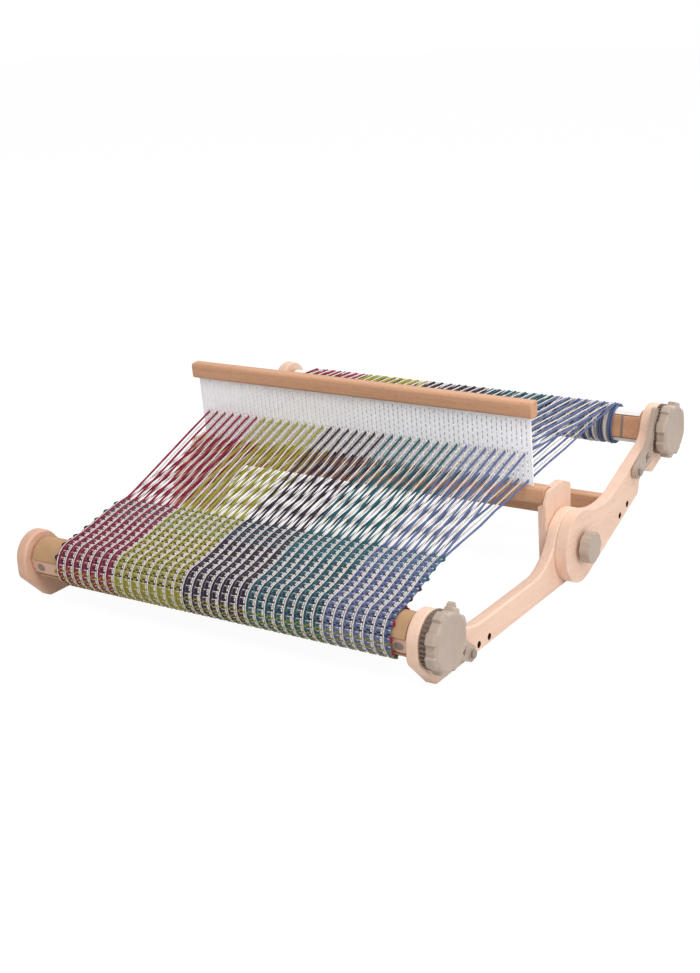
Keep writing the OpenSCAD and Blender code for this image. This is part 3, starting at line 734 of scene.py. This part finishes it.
def cloth_x(i, s):
    """Place along X of warp thread i at distance s: the cloth drifts sideways to its roller."""
    run = cloth_path()[2]
    share = np.clip(s / run, 0, 1)
    share = share * share * (3 - 2 * share)
    turn = (np.maximum(s - run, 0) / CLOTH_R) % (2 * math.pi)
    under = np.interp(np.degrees(turn), (0, 128, 160, 300, 350), (0, 0, 1, 1, 0))
    step = settings()[1].end_step * (1 - 0.035 * under)
    return FELL_X + (ROLL_X - FELL_X) * share + i * step


def pick_skew(i):
    """How far a row runs ahead at warp thread i, because it was beaten slightly askew."""
    return (i - LAST) * PICK_SKEW


def uneven(rng, count, size, spacing):
    """Smooth random run of the given size."""
    knots = rng.normal(0, size, max(4, int(count / spacing) + 3))
    return np.interp(np.linspace(0, len(knots) - 1, count), np.arange(len(knots)), knots)


def dyed(name, count):
    """Tint of one yarn for a run of points."""
    return np.tile(dye(name), (count, 1))


def weave_ends(s_values, rows, chosen=ENDS):
    """Guide lines of warp threads through the given rows, with their tints and girths."""
    lines, tints, girths = [], [], []
    for i in chosen:
        kind = end_kind(i)
        lift = settings()[1].end_rise * OVER[kind, rows.astype(int) % 4]
        place = on_cloth(s_values + pick_skew(i), lift)
        lines.append(np.column_stack([cloth_x(i + END_SHIFT[kind], s_values), place]))
        tints.append(dyed(end_dye(i), len(place)))
        girths.append(np.full(len(place), END_GIRTH[kind]))
    return lines, tints, girths


def float_ends(count, half=0.3):
    """Both ends of each float along a thread, in rows, and the row that each one crosses."""
    rows = np.repeat(np.arange(count, dtype=float), 2)
    return rows + np.tile((-half, half), count), rows


def weave_pick(j, s, rng, reach=0.5):
    """Guide line of weft row j at distance s."""
    across = np.arange(-LAST - reach, LAST + reach + 0.01, 0.5)
    sunk = -settings()[1].pick_rise * OVER[end_kind(ENDS), j % 4]
    lift = np.interp(across, ENDS, sunk)
    lift[0] = lift[-1] = 0
    wander = s + pick_skew(across) + uneven(rng, len(across), 0.00012, 24)
    return np.column_stack([cloth_x(across, wander), on_cloth(wander, lift)])


# ---------------------------------------------------------------- operators
class BuildArms(bpy.types.Operator):
    """Round the edges of the four beech arms and give them their grain"""

    bl_idname = "loom.arms"
    bl_label = "Arms"

    def execute(self, context):
        # The left arms take the darker beech, which paints in the shade they stand in.
        for side, board in (("left", "dark_arm_beech"), ("right", "arm_beech")):
            for end, wood, turn, body in (("front", board, 0.0, "base"),
                                          ("back", "back_arm_beech", BACK_ANGLE, "back_frame")):
                arm = soften(f"arm_{end}_{side}", f"{end}_arm_{side}", wood, 2.6, 0.5)
                paint_bore_shade(arm, turn, HOLES_AT[end])
                belong(arm, body, "arm_beech")
        return {"FINISHED"}


class BuildBlocks(bpy.types.Operator):
    """Make the heddle blocks and their screws"""

    bl_idname = "loom.blocks"
    bl_label = "Heddle blocks"

    def execute(self, context):
        soften_all([
            ("block_left", "heddle_block_left", "block_beech", 1.2, 0.4, "base", "block_beech"),
            ("block_right", "heddle_block_right", "block_beech", 1.2, 0.4, "base", "block_beech"),
            ("screws_block", "block_screws", "steel", 0.5, 0.5, "base", "steel")])
        return {"FINISHED"}


class BuildRails(bpy.types.Operator):
    """Make the cross rail and the heddle's two rails"""

    bl_idname = "loom.rails"
    bl_label = "Rails"

    def execute(self, context):
        soften_all([
            ("rail_cross", "cross_rail", "rail_beech", 0.8, 0.5, "back_frame", "brown_beech"),
            ("rail_heddle_top", "heddle_top_rail", "rail_beech", 1.2, 0.5, "heddle",
             "brown_beech"),
            ("rail_heddle_bottom", "heddle_bottom_rail", "rail_beech", 1.2, 0.5, "heddle",
             "brown_beech")])
        return {"FINISHED"}


class BuildRollers(bpy.types.Operator):
    """Make the rollers, their sticks, the card and the paper"""

    bl_idname = "loom.rollers"
    bl_label = "Rollers"

    def execute(self, context):
        soften_all([
            ("roller_front", "front_roller", "roller_wood", 1.0, 0.4, "front_beam", "roller_wood"),
            ("stick_front", "front_stick", "stick_pink", 0.8, 0.4, "front_beam", "roller_wood"),
            ("plugs_front", "front_stick_plugs", "plug_plastic", 0.6, 0.4, "front_beam",
             "taupe_plastic"),
            ("card_front", "beam_card", "card", 0.3, 0.3, "front_beam", "card"),
            ("roller_back", "back_roller", "roller_wood", 1.0, 0.4, "back_beam", "roller_wood"),
            ("stick_back", "back_stick", "rail_beech", 0.8, 0.4, "back_beam", "brown_beech"),
            ("bands_back", "back_stick_bands", "plug_plastic", 0.15, 0.15, "back_beam",
             "taupe_plastic"),
            ("paper_back", "beam_paper", "paper", 0.2, 0.2, "back_beam", "paper")])
        return {"FINISHED"}


# Handle: distances from the arm's face and radii, in metres. Each row of the bell's outline is
# a distance, the radius between two lobes and the radius over a lobe.
BELL_GAP, RATCHET_L, RATCHET_R, TOOTH_H, TEETH, LOBES = 0.001, 0.008, 0.033, 0.0026, 36, 8
BELL_FROM, BELL_DEEP, BELL_STEPS = BELL_GAP + RATCHET_L + 0.0005, 0.023, 288
LOBE_HALF, LOBE_EDGE = 22 / 45 / 2, 0.03
HUB_R, HUB_STEPS = 0.0079, 40
BELL_OUTLINE = (
    (BELL_FROM + 0.0030, 0.0290, 0.0290), (BELL_FROM + 0.0008, 0.0305, 0.0305),
    (BELL_FROM, 0.0325, 0.0358), (BELL_FROM + 0.0004, 0.0331, 0.0365),
    (BELL_FROM + 0.0012, 0.0334, 0.0370), (BELL_FROM + 0.0030, 0.0334, 0.0371),
    (BELL_DEEP - 0.0048, 0.0334, 0.0371), (BELL_DEEP - 0.0036, 0.0333, 0.0370),
    (BELL_DEEP - 0.0027, 0.0331, 0.0366), (BELL_DEEP - 0.0020, 0.0328, 0.0360),
    (BELL_DEEP - 0.0016, 0.0325, 0.0350), (BELL_DEEP - 0.0013, 0.0322, 0.0335),
    (BELL_DEEP - 0.0008, 0.0316, 0.0317), (BELL_DEEP - 0.0003, 0.0306, 0.0306),
    (BELL_DEEP - 0.0001, 0.0292, 0.0292), (BELL_DEEP - 0.0002, 0.0280, 0.0280),
    (BELL_DEEP - 0.0010, 0.0255, 0.0255), (BELL_DEEP - 0.0013, 0.0120, 0.0120),
    (BELL_DEEP - 0.0014, 0.0010, 0.0010))


def build_ratchet(name, axis, face_x, phase, mirrored):
    """Toothed wheel of a handle, in plastic darkened as painted shade under the bell; each tooth
    rises slowly and drops steeply.
    """
    outline = []
    for k in range(TEETH):
        for r, turn in ((RATCHET_R - TOOTH_H, 0.0), (RATCHET_R, 0.7), (RATCHET_R, 0.88)):
            a = 2 * math.pi * (k + turn) / TEETH + phase
            outline.append((r * math.cos(a) * (-1 if mirrored else 1), r * math.sin(a)))
    n = len(outline)
    points = [(face_x + x, axis[1] + y, axis[2] + z)
              for x in (BELL_GAP, BELL_FROM + 0.0032) for y, z in outline]
    faces = [(k, (k + 1) % n, n + (k + 1) % n, n + k) for k in range(n)]
    faces += [tuple(range(n)), tuple(n + k for k in range(n))]
    return shell(name, points, faces, "shaded_plastic", smooth=False)


def build_handle(name, node, axis, face_x, body, phase, mirrored):
    """Handle: hub, ratchet wheel and lobed bell."""
    lobe_turn = math.radians(155 if mirrored else 25)

    def lobed(a, r, top):
        """Radius at an angle: top over a lobe, r beside it."""
        t = abs(((a - lobe_turn) * LOBES / (2 * math.pi) + 0.5) % 1.0 - 0.5)
        share = min(max((LOBE_HALF + LOBE_EDGE - t) / (2 * LOBE_EDGE), 0), 1)
        return r + (top - r) * share * share * (3 - 2 * share)

    bell = shell(name, *lathe(axis, BELL_OUTLINE, BELL_STEPS, face_x, lobed), "taupe_plastic")
    bell.data.set_sharp_from_angle(angle=math.radians(38))
    wheel = build_ratchet(name + "_ratchet", axis, face_x, phase, mirrored)
    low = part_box(node)[0][0] - face_x
    hub_outline = [(low, HUB_R - 0.0011, 0), (low + 0.001, HUB_R, 0), (BELL_GAP + 0.0005, HUB_R, 0)]
    hub = shell(name + "_hub", *lathe(axis, hub_outline, HUB_STEPS, face_x), "taupe_plastic")
    whole = joined([bell, wheel, hub], name)
    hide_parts(node)
    belong(whole, body, "taupe_plastic")


class BuildHandles(bpy.types.Operator):
    """Turn the two lobed handles with their ratchet wheels"""

    bl_idname = "loom.handles"
    bl_label = "Handles"

    def execute(self, context):
        build_handle("handle_front", "front_handle", FRONT_AXIS, ARM_FACE, "front_beam",
                     math.radians(213), True)
        build_handle("handle_back", "back_handle", BACK_AXIS, OUTSIDE, "back_beam",
                     math.radians(BACK_LEAN + 181.8), False)
        return {"FINISHED"}


class BuildPawls(bpy.types.Operator):
    """Make both pawls and their screws"""

    bl_idname = "loom.pawls"
    bl_label = "Pawls"

    def execute(self, context):
        soften_all([
            ("pawl_front", "front_pawl", "taupe_plastic", 0.9, 0.5, "front_pawl",
             "taupe_plastic"),
            ("screw_pawl_front", "front_pawl_screw", "plug_plastic", 0.8, 0.8, "base", "steel"),
            ("pawl_back", "back_pawl", "taupe_plastic", 0.9, 0.5, "back_pawl", "taupe_plastic"),
            ("screw_pawl_back", "back_pawl_screw", "plug_plastic", 0.8, 0.8, "back_frame",
             "steel")])
        return {"FINISHED"}


class BuildHardware(bpy.types.Operator):
    """Make the fold knobs, bolts, washers and pins"""

    bl_idname = "loom.hardware"
    bl_label = "Knobs and bolts"

    def execute(self, context):
        soften_all([
            ("knob_left", "fold_knob_left", "taupe_plastic", 1.3, 0.4, "knob_left",
             "taupe_plastic"),
            ("knob_right", "fold_knob_right", "taupe_plastic", 1.3, 0.4, "knob_right",
             "taupe_plastic"),
            ("washers_fold", "fold_washers", "steel", 0.3, 0.3, "base", "steel"),
            ("bolt_axle_front", "front_axle_bolt", "steel", 0.4, 0.4, "front_beam", "steel"),
            ("bolt_axle_back", "back_axle_bolt", "steel", 0.4, 0.4, "back_beam", "steel"),
            ("pin_front", "front_handle_pin", "steel", 0.3, 0.3, "front_beam", "steel"),
            ("pin_back", "back_handle_pin", "steel", 0.3, 0.3, "back_beam", "steel"),
            ("bolt_fold_left", "fold_bolt_left", "steel", 0.5, 0.5, "base", "steel"),
            ("bolt_fold_right", "fold_bolt_right", "steel", 0.5, 0.5, "base", "steel")])
        return {"FINISHED"}


class BuildReed(bpy.types.Operator):
    """Finish the heddle's slotted plastic"""

    bl_idname = "loom.reed"
    bl_label = "Reed"

    def execute(self, context):
        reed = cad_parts["heddle_reed"]
        reed.data.materials.clear()
        reed.data.materials.append(MATERIALS["reed_plastic"])
        return {"FINISHED"}


# ---------------------------------------------------------------- cloth
def closed_sheet(name, inner, outer, loop, material):
    """Closed thin sheet from two grids of points; loop joins its last row to its first."""
    rows, cols = len(inner), len(inner[0])
    points = np.concatenate([np.concatenate(outer), np.concatenate(inner)])
    base = rows * cols
    faces = []
    for r in range(rows if loop else rows - 1):
        n = (r + 1) % rows
        for c in range(cols - 1):
            a, b, d, e = r * cols + c, r * cols + c + 1, n * cols + c + 1, n * cols + c
            faces.append((a, b, d, e))
            faces.append((base + e, base + d, base + b, base + a))
        for c in (0, cols - 1):
            a, e = r * cols + c, n * cols + c
            faces.append((a, e, base + e, base + a) if c == 0 else (e, a, base + a, base + e))
    if not loop:
        for r in (0, rows - 1):
            for c in range(cols - 1):
                a, b = r * cols + c, r * cols + c + 1
                quad = (a, base + a, base + b, b)
                faces.append(quad if r == 0 else quad[::-1])
    return shell(name, points, faces, material)


def paint_column_shade(piece, centre, step, share):
    """Stores the warp's colours, darkened by share as painted shade between the yarns, on a sheet
    of yarn round a centre along X.
    """
    mesh = piece.data
    places = np.empty(len(mesh.vertices) * 3, dtype=np.float32)
    mesh.vertices.foreach_get("co", places)
    index = np.clip(np.round((places[0::3] - centre) / step), -LAST, LAST)
    values = np.array([dye(end_dye(int(i))) for i in index])
    values[:, :3] *= share
    store_tint(mesh, values)


def weave_ground(name, places, loop):
    """Thin sheet between the yarns, in the warp's colours darkened as painted shade, at distances
    along the cloth.
    """
    edges = np.arange(-LAST - 0.5, LAST + 0.6, 1.0)
    inner, outer = [], []
    for s in places:
        run = np.full(len(edges), s)
        for face, lift in ((outer, GROUND_LIFT), (inner, -GROUND_LIFT)):
            at = on_cloth(run, np.full(len(edges), lift))
            face.append(np.column_stack([cloth_x(edges, run), at]))
    ground = closed_sheet(name, inner, outer, loop, "cloth_yarn")
    paint_column_shade(ground, (FELL_X + ROLL_X) / 2, settings()[1].end_step, GROUND_SHADE_SHARE)
    return ground


def weave_threads(name, tree, lines, tints, width, height, sides=6, **more):
    """Cloth threads swept along guide lines; more goes to guide_mesh."""
    guide = guide_mesh(name + "_guide", lines, tints, **more)
    return run_tree(name, tree, guide, {
        "Width": width, "Height": height, "Sides": sides, "Seed": settings()[1].seed,
        "Unevenness": 0.06, "Material": MATERIALS["cloth_yarn"]})


def weave_rows(name, tree, rows, rng, tilt_at, cream_girth, width, sides):
    """Weft rows of one stretch of cloth; tilt_at gives a row's lean at its distance."""
    lines = [weave_pick(j, s, rng) for j, s in rows]
    count = len(lines[0])
    return weave_threads(
        name, tree, lines, [dyed(pick_dye(j), count) for j, _ in rows], width,
        settings()[1].pick_h, sides, tilts=[np.full(count, tilt_at(s)) for _, s in rows],
        girths=[np.full(count, DYED_PICK_GIRTH if j % 4 < 2 else cream_girth) for j, _ in rows])


def selvedge(rows, side, rng, far):
    """Loops of coloured weft that pass from one pair of rows to the next at one edge."""
    lines, tints = [], []
    pick_step = settings()[1].pick_step
    t = np.linspace(0, 1, 9)
    for j, s in rows:
        if j % 8 != (0 if side > 0 else 4):
            continue
        start, stop = s + pick_step * 0.9, s + pick_step * 3.0
        out = 0.0036 * (0.7 + 0.6 * rng.random())
        if stop > far:
            continue
        at = start + (stop - start) * t
        x = cloth_x(side * (LAST - 0.3), at) + side * (0.001 + out * np.sin(math.pi * t) ** 0.7)
        place = on_cloth(at + pick_skew(side * LAST), 0.0004 * np.cos(math.pi * t))
        lines.append(np.column_stack([x, place]))
        tints.append(dyed(pick_dye(j), len(x)))
    return lines, tints


def finish_cloth(ground, node, body, threads):
    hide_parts(node)
    for piece in (*threads, ground):
        belong(piece, body, "cloth")


class BuildCloth(bpy.types.Operator):
    """Weave the cloth thread by thread, from the last row onto its roller"""

    bl_idname = "loom.cloth"
    bl_label = "Cloth"

    def execute(self, context):
        rng = np.random.default_rng(settings()[1].seed)
        trees = thread_tree("Threads in the cloth", False), thread_tree("Rows of the cloth", True)
        woven = self.flat(rng, *trees)
        self.turned(woven, rng, *trees)
        return {"FINISHED"}

    def flat(self, rng, end_tree, row_tree):
        """Flat stretch, from the last row to the roller; gives its count of rows."""
        yarns = settings()[1]
        _, way, run, _ = cloth_path()
        count = int((run - FIRST_PICK) / yarns.pick_step) + 1
        rows = [(j, FIRST_PICK + j * yarns.pick_step) for j in range(count)]
        places, crossed = float_ends(count)
        at = np.minimum(FIRST_PICK + places * yarns.pick_step, run)
        lines, tints, girths = weave_ends(at, crossed)
        ends = weave_threads("cloth_flat_ends", end_tree, lines, tints, yarns.end_w, yarns.end_h,
                             girths=girths)
        lean = -(math.atan2(way[1], way[0]) + math.pi)
        picks = weave_rows("cloth_flat_rows", row_tree, rows, rng, lambda s: lean,
                           FLAT_CREAM_GIRTH, yarns.pick_w, 6)
        loops, tints = [], []
        for side in (-1, 1):
            made, dyes = selvedge(rows, side, rng, run)
            loops += made
            tints += dyes
        edge = weave_threads("cloth_flat_loops", end_tree, loops, tints, LOOP_D, LOOP_D)
        first = FIRST_PICK - 0.001
        ground = weave_ground("cloth_flat_sheet", np.linspace(first, run, FLAT_GROUND_ROWS),
                              False)
        finish_cloth(ground, "cloth_span", "base", [ends, picks, edge])
        return count

    def turned(self, woven, rng, end_tree, row_tree):
        """Turn round the roller, which goes on after the rows already woven."""
        yarns = settings()[1]
        _, _, run, first_angle = cloth_path()
        step = 2 * math.pi * CLOTH_R / TURN_PICKS
        rows = [(woven + k, run + (k + 0.5) * step) for k in range(TURN_PICKS)]
        places, crossed = float_ends(TURN_PICKS)
        threads = []
        for half, chosen in (("left", ENDS[:LAST]), ("right", ENDS[LAST:])):
            lines, tints, girths = weave_ends(run + (places + 0.5) * step, crossed + woven, chosen)
            threads.append(weave_threads(
                f"cloth_turned_ends_{half}", end_tree, lines, tints, yarns.end_w, yarns.end_h,
                girths=girths, closed=True))
        threads.append(weave_rows(
            "cloth_turned_rows", row_tree, rows, rng,
            lambda s: -(first_angle + (s - run) / CLOTH_R + math.pi / 2), ROLL_CREAM_GIRTH,
            step * 0.9, 4))
        loops, tints = selvedge(rows, -1, rng, 1.0)
        right, dyes = selvedge(rows, 1, rng, 1.0)
        tints += [dyed("lime" if 2 < k < 7 else "magenta", 9) for k in range(len(dyes))]
        threads.append(weave_threads("cloth_turned_loops", end_tree, loops + right, tints, LOOP_D,
                                     LOOP_D))
        round_step = 2 * math.pi * CLOTH_R / ROUND_GROUND_ROWS
        round_once = run + np.arange(ROUND_GROUND_ROWS) * round_step
        ground = weave_ground("cloth_turned_sheet", round_once, True)
        finish_cloth(ground, "cloth_roll", "front_beam", threads)


# ---------------------------------------------------------------- warp
# Heddle, seen from the fold: its lean, its foot (Y, Z) and the heights of the raised and the
# sunk threads in it, in millimetres. SPLIT is where the threads pass to the back arms' part.
HEDDLE_LEAN, HEDDLE_FOOT, EYE_Z, SUNK_Z = math.radians(3.3), (-22.7, 57.3), 60.3, 26.0
SPLIT = (0.040 + FOLD[1], 0.13)
AHEAD_POINTS, BEHIND_POINTS, RING_POINTS, CORE_POINTS = 28, 41, 40, 48


def heddle_point(high):
    """Place (Y, Z) of the raised or the sunk threads inside the reed."""
    up = EYE_Z if high else SUNK_Z
    foot_y, foot_z = HEDDLE_FOOT
    return np.array([foot_y - up * math.sin(HEDDLE_LEAN), foot_z + up]) * MM + FOLD[1:]


def taut(start, stop, count, rng, *wobbles):
    """Points of a taut thread that wanders in its middle, by (axis, size, spacing)."""
    share = np.linspace(0, 1, count)
    line = start + np.outer(share, stop - start)
    for axis, size, spacing in wobbles:
        line[:, axis] += 4 * share * (1 - share) * uneven(rng, count, size, spacing)
    return line


def cut_at(line, y):
    """Both parts of a thread, cut where it passes a place along Y."""
    steps = np.arange(len(line))
    cut = np.interp(y, line[:, 1], steps)
    at = np.array([np.interp(cut, steps, line[:, k]) for k in range(3)])
    whole = int(cut)
    return np.vstack([line[:whole + 1], at]), np.vstack([at, line[whole + 1:]])


class BuildWarp(bpy.types.Operator):
    """Stretch the warp from the cloth through the heddle to its roller"""

    bl_idname = "loom.warp"
    bl_label = "Warp"

    def execute(self, context):
        yarns = settings()[1]
        rng = np.random.default_rng(yarns.seed + 1)
        tree = thread_tree("Taut threads", False)
        fell = on_cloth(np.array([FIRST_PICK - 0.0015]), np.array([0.0]))[0]
        centre, radius = BACK_AXIS[1:], WARP_R + yarns.warp_d / 2
        ahead, near, far = [], [], []
        for i in ENDS:
            eye = heddle_point(i % 2 == 0)
            start = np.array([cloth_x(i, FIRST_PICK), *fell])
            passed = np.array([MID_X + i * HEDDLE_STEP, *eye])
            ahead.append(taut(start, passed, AHEAD_POINTS, rng, (0, 0.0007, 9),
                              (2, 0.0005, 9)))
            gap = eye - centre
            angle = math.atan2(gap[1], gap[0]) - math.acos(radius / np.linalg.norm(gap))
            touch = centre + radius * np.array([math.cos(angle), math.sin(angle)])
            end = np.array([passed[0] + rng.normal(0, 0.0012), *touch])
            parts = cut_at(taut(passed, end, BEHIND_POINTS, rng, (0, 0.0008, 12)), SPLIT[0])
            near.append(parts[0])
            far.append(parts[1])
        low = heddle_point(False)
        for name, lines, bodies, start, stop, node in (
                ("warp_ahead", ahead, ("base", "heddle"), fell, low, "warp_front"),
                ("warp_near", near, ("heddle", "base"), low, SPLIT, "warp_back"),
                ("warp_far", far, ("base", "back_frame"), SPLIT,
                 (BACK_AXIS[1] - 0.06, BACK_AXIS[2]), None)):
            dyes = [dyed(end_dye(i), len(line)) for i, line in zip(ENDS, lines)]
            girths = [np.full(len(line), DYED_WARP_GIRTH if end_kind(i) < 2 else CREAM_WARP_GIRTH)
                      for i, line in zip(ENDS, lines)]
            guide = guide_mesh(name + "_guide", lines, dyes, girths=girths)
            piece = run_tree(name, tree, guide, {
                "Width": yarns.warp_d, "Height": yarns.warp_d, "Sides": 7, "Seed": yarns.seed,
                "Unevenness": 0.1, "Material": MATERIALS["warp_yarn"]})
            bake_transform(piece)
            if node:
                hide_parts(node)
        self.wind(tree, rng)
        return {"FINISHED"}

    def wind(self, tree, rng):
        """Rings of warp wound on the back roller, over a thin core in the warp's colours darkened
        as painted shade between the rings.
        """
        yarns = settings()[1]
        _, centre_y, centre_z = BACK_AXIS
        angle = np.arange(RING_POINTS) * 2 * math.pi / RING_POINTS
        lines = []
        for i in ENDS:
            radius = WARP_R - yarns.warp_d * 0.45 + rng.normal(0, 0.00025)
            drift = 0.0016 * np.sin(angle + rng.random() * 6) + rng.normal(0, 0.0006)
            lines.append(np.column_stack([MID_X + i * HEDDLE_STEP + drift,
                                          centre_y + radius * np.cos(angle),
                                          centre_z + radius * np.sin(angle)]))
        dyes = [dyed(end_dye(i), RING_POINTS) for i in ENDS]
        guide = guide_mesh("warp_wound_guide", lines, dyes, closed=True)
        wound = run_tree("warp_wound", tree, guide, {
            "Width": 0.0030, "Height": 0.0019, "Sides": 6, "Seed": yarns.seed + 2,
            "Unevenness": 0.12, "Material": MATERIALS["warp_yarn"]})
        core_r = WARP_R - 0.0015
        half = (LAST + 0.3) * HEDDLE_STEP
        x = np.linspace(MID_X - half, MID_X + half, 2 * LAST + 2)
        inner, outer = [], []
        for a in np.arange(CORE_POINTS) * 2 * math.pi / CORE_POINTS:
            for face, r in ((outer, core_r), (inner, core_r - 0.0008)):
                face.append(np.column_stack([x, np.full(len(x), centre_y + r * math.cos(a)),
                                             np.full(len(x), centre_z + r * math.sin(a))]))
        core = closed_sheet("warp_core", inner, outer, True, "warp_yarn")
        # The core keeps the warp's colours, darkened as painted shade between the rings.
        paint_column_shade(core, MID_X, HEDDLE_STEP, CORE_SHADE_SHARE)
        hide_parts("warp_roll")
        for piece in (wound, core):
            belong(piece, "back_beam", "warp")


# ---------------------------------------------------------------- stage
CAMERA_PLACE = (1.06417, -1.58105, 0.74605)
CAMERA_PITCH, CAMERA_YAW, CAMERA_ROLL = (math.radians(v) for v in (18.859, 34.054, -3.220))
LAMPS_AIM = Vector((0, 0, 0.08))
FLOOR_SIZE, FLOOR_TONE, FLOOR_GLOW, FLOOR_SEEN = 9.0, 0.75, 1.1, 0.86


def seen(nodes):
    """1 for rays from the camera, from a gloss or through glass, and 0 for the rest."""
    path = nodes.add("ShaderNodeLightPath").outputs
    return nodes.math("MAXIMUM", path["Is Camera Ray"],
                      nodes.math("MAXIMUM", path["Is Glossy Ray"], path["Is Transmission Ray"]))


class BuildStage(bpy.types.Operator):
    """Set the floor, lamps, sky and camera"""

    bl_idname = "loom.stage"
    bl_label = "Stage"

    def execute(self, context):
        stage = settings()[2]
        scene = context.scene
        self.camera(scene, stage)
        self.floor()
        self.sky(scene, stage)
        for name, power, size, place in (
                ("key_lamp", stage.key, 1.6, (1.0, -1.3, 2.5)),
                ("fill_lamp", stage.fill, 2.0, (2.4, -0.6, 1.0)),
                ("back_lamp", stage.back, 2.0, (0.4, 1.9, 1.7))):
            lamp = bpy.data.lights.new(name, "AREA")
            lamp.energy = power
            lamp.size = size
            holder = add_object(name, lamp)
            holder.location = place
            aim = LAMPS_AIM - Vector(place)
            holder.rotation_euler = aim.to_track_quat("-Z", "Y").to_euler()
        return {"FINISHED"}

    def camera(self, scene, stage):
        """Camera from its measured place, pitch, yaw and roll."""
        pitch, yaw, roll = CAMERA_PITCH, CAMERA_YAW, CAMERA_ROLL
        ahead = Vector((-math.sin(yaw), math.cos(yaw), 0))
        right = Vector((math.cos(yaw), math.sin(yaw), 0))
        up = Vector((0, 0, 1))
        look = math.cos(pitch) * ahead - math.sin(pitch) * up
        top = math.sin(pitch) * ahead + math.cos(pitch) * up
        side = math.cos(roll) * right + math.sin(roll) * top
        head = -math.sin(roll) * right + math.cos(roll) * top
        turn = Matrix((side, head, -look)).transposed().to_4x4()
        lens = bpy.data.cameras.new("camera")
        lens.lens = stage.lens
        lens.sensor_width = 36
        lens.clip_end = 30
        camera = add_object("camera", lens)
        camera.matrix_world = Matrix.Translation(CAMERA_PLACE) @ turn
        scene.camera = camera
        scene.view_settings.view_transform = "Standard"

    def floor(self):
        """Wide pale floor that keeps a soft shadow."""
        material = bpy.data.materials.new("floor")
        nodes = cleared(material)
        tone = (FLOOR_TONE, FLOOR_TONE, FLOOR_TONE, 1)
        matt = nodes.add("ShaderNodeBsdfDiffuse", {0: tone}).outputs[0]
        glow = nodes.add("ShaderNodeEmission", {0: (1, 1, 1, 1), 1: FLOOR_GLOW}).outputs[0]
        share = nodes.math("MULTIPLY", seen(nodes), FLOOR_SEEN)
        mixed = nodes.add("ShaderNodeMixShader", {0: share, 1: matt, 2: glow}).outputs[0]
        nodes.add("ShaderNodeOutputMaterial", {0: mixed})
        mesh = bpy.data.meshes.new("floor")
        corners = [(x * FLOOR_SIZE, y * FLOOR_SIZE, 0)
                   for x, y in ((-1, -1), (1, -1), (1, 1), (-1, 1))]
        mesh.from_pydata(corners, [], [(0, 1, 2, 3)])
        mesh.materials.append(material)
        add_object("floor", mesh)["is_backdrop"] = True

    def sky(self, scene, stage):
        """Even white light, seen as plain white."""
        world = bpy.data.worlds.new("sky")
        scene.world = world
        nodes = cleared(world)
        level = nodes.math("ADD", nodes.math("MULTIPLY", seen(nodes), 1.0 - stage.sky), stage.sky)
        light = nodes.add("ShaderNodeBackground", {0: (1, 1, 1, 1), 1: level}).outputs[0]
        nodes.add("ShaderNodeOutputWorld", {0: light})


class LoomPanel(bpy.types.Panel):
    """Sidebar panel with the loom's settings and steps"""

    bl_idname = "VIEW3D_PT_loom"
    bl_label = "Folding table loom"
    bl_space_type = "VIEW_3D"
    bl_region_type = "UI"
    bl_category = "Loom"

    def draw(self, context):
        for group in settings():
            box = self.layout.box()
            for key in group.__annotations__:
                box.prop(group, key)
        for step in STEPS:
            self.layout.operator(step.bl_idname)


STEPS = (BuildArms, BuildBlocks, BuildRails, BuildRollers, BuildHandles, BuildPawls, BuildHardware,
         BuildReed, BuildCloth, BuildWarp, BuildStage)
GROUP_TYPES = (LoomFinishes, LoomYarns, LoomStage)


def register():
    """Registers the settings, the steps and the panel."""
    for kind in GROUP_TYPES + STEPS + (LoomPanel,):
        bpy.utils.register_class(kind)
    bpy.types.Scene.loom_finishes = PointerProperty(type=LoomFinishes)
    bpy.types.Scene.loom_yarns = PointerProperty(type=LoomYarns)
    bpy.types.Scene.loom_stage = PointerProperty(type=LoomStage)


def unregister():
    """Takes the settings, the steps and the panel off again."""
    for label in ("loom_finishes", "loom_yarns", "loom_stage"):
        delattr(bpy.types.Scene, label)
    for kind in reversed(GROUP_TYPES + STEPS + (LoomPanel,)):
        bpy.utils.unregister_class(kind)


def main():
    """Builds every piece in order."""
    register()
    make_groups()
    make_materials()
    for step in STEPS:
        space, label = step.bl_idname.split(".")
        getattr(getattr(bpy.ops, space), label)()
    boxes = {"cad": CAD_BOX, "visual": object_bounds()}
    {k: [list(map(float, corner)) for corner in v] for k, v in boxes.items()}


if __name__ == "__main__":
    main()
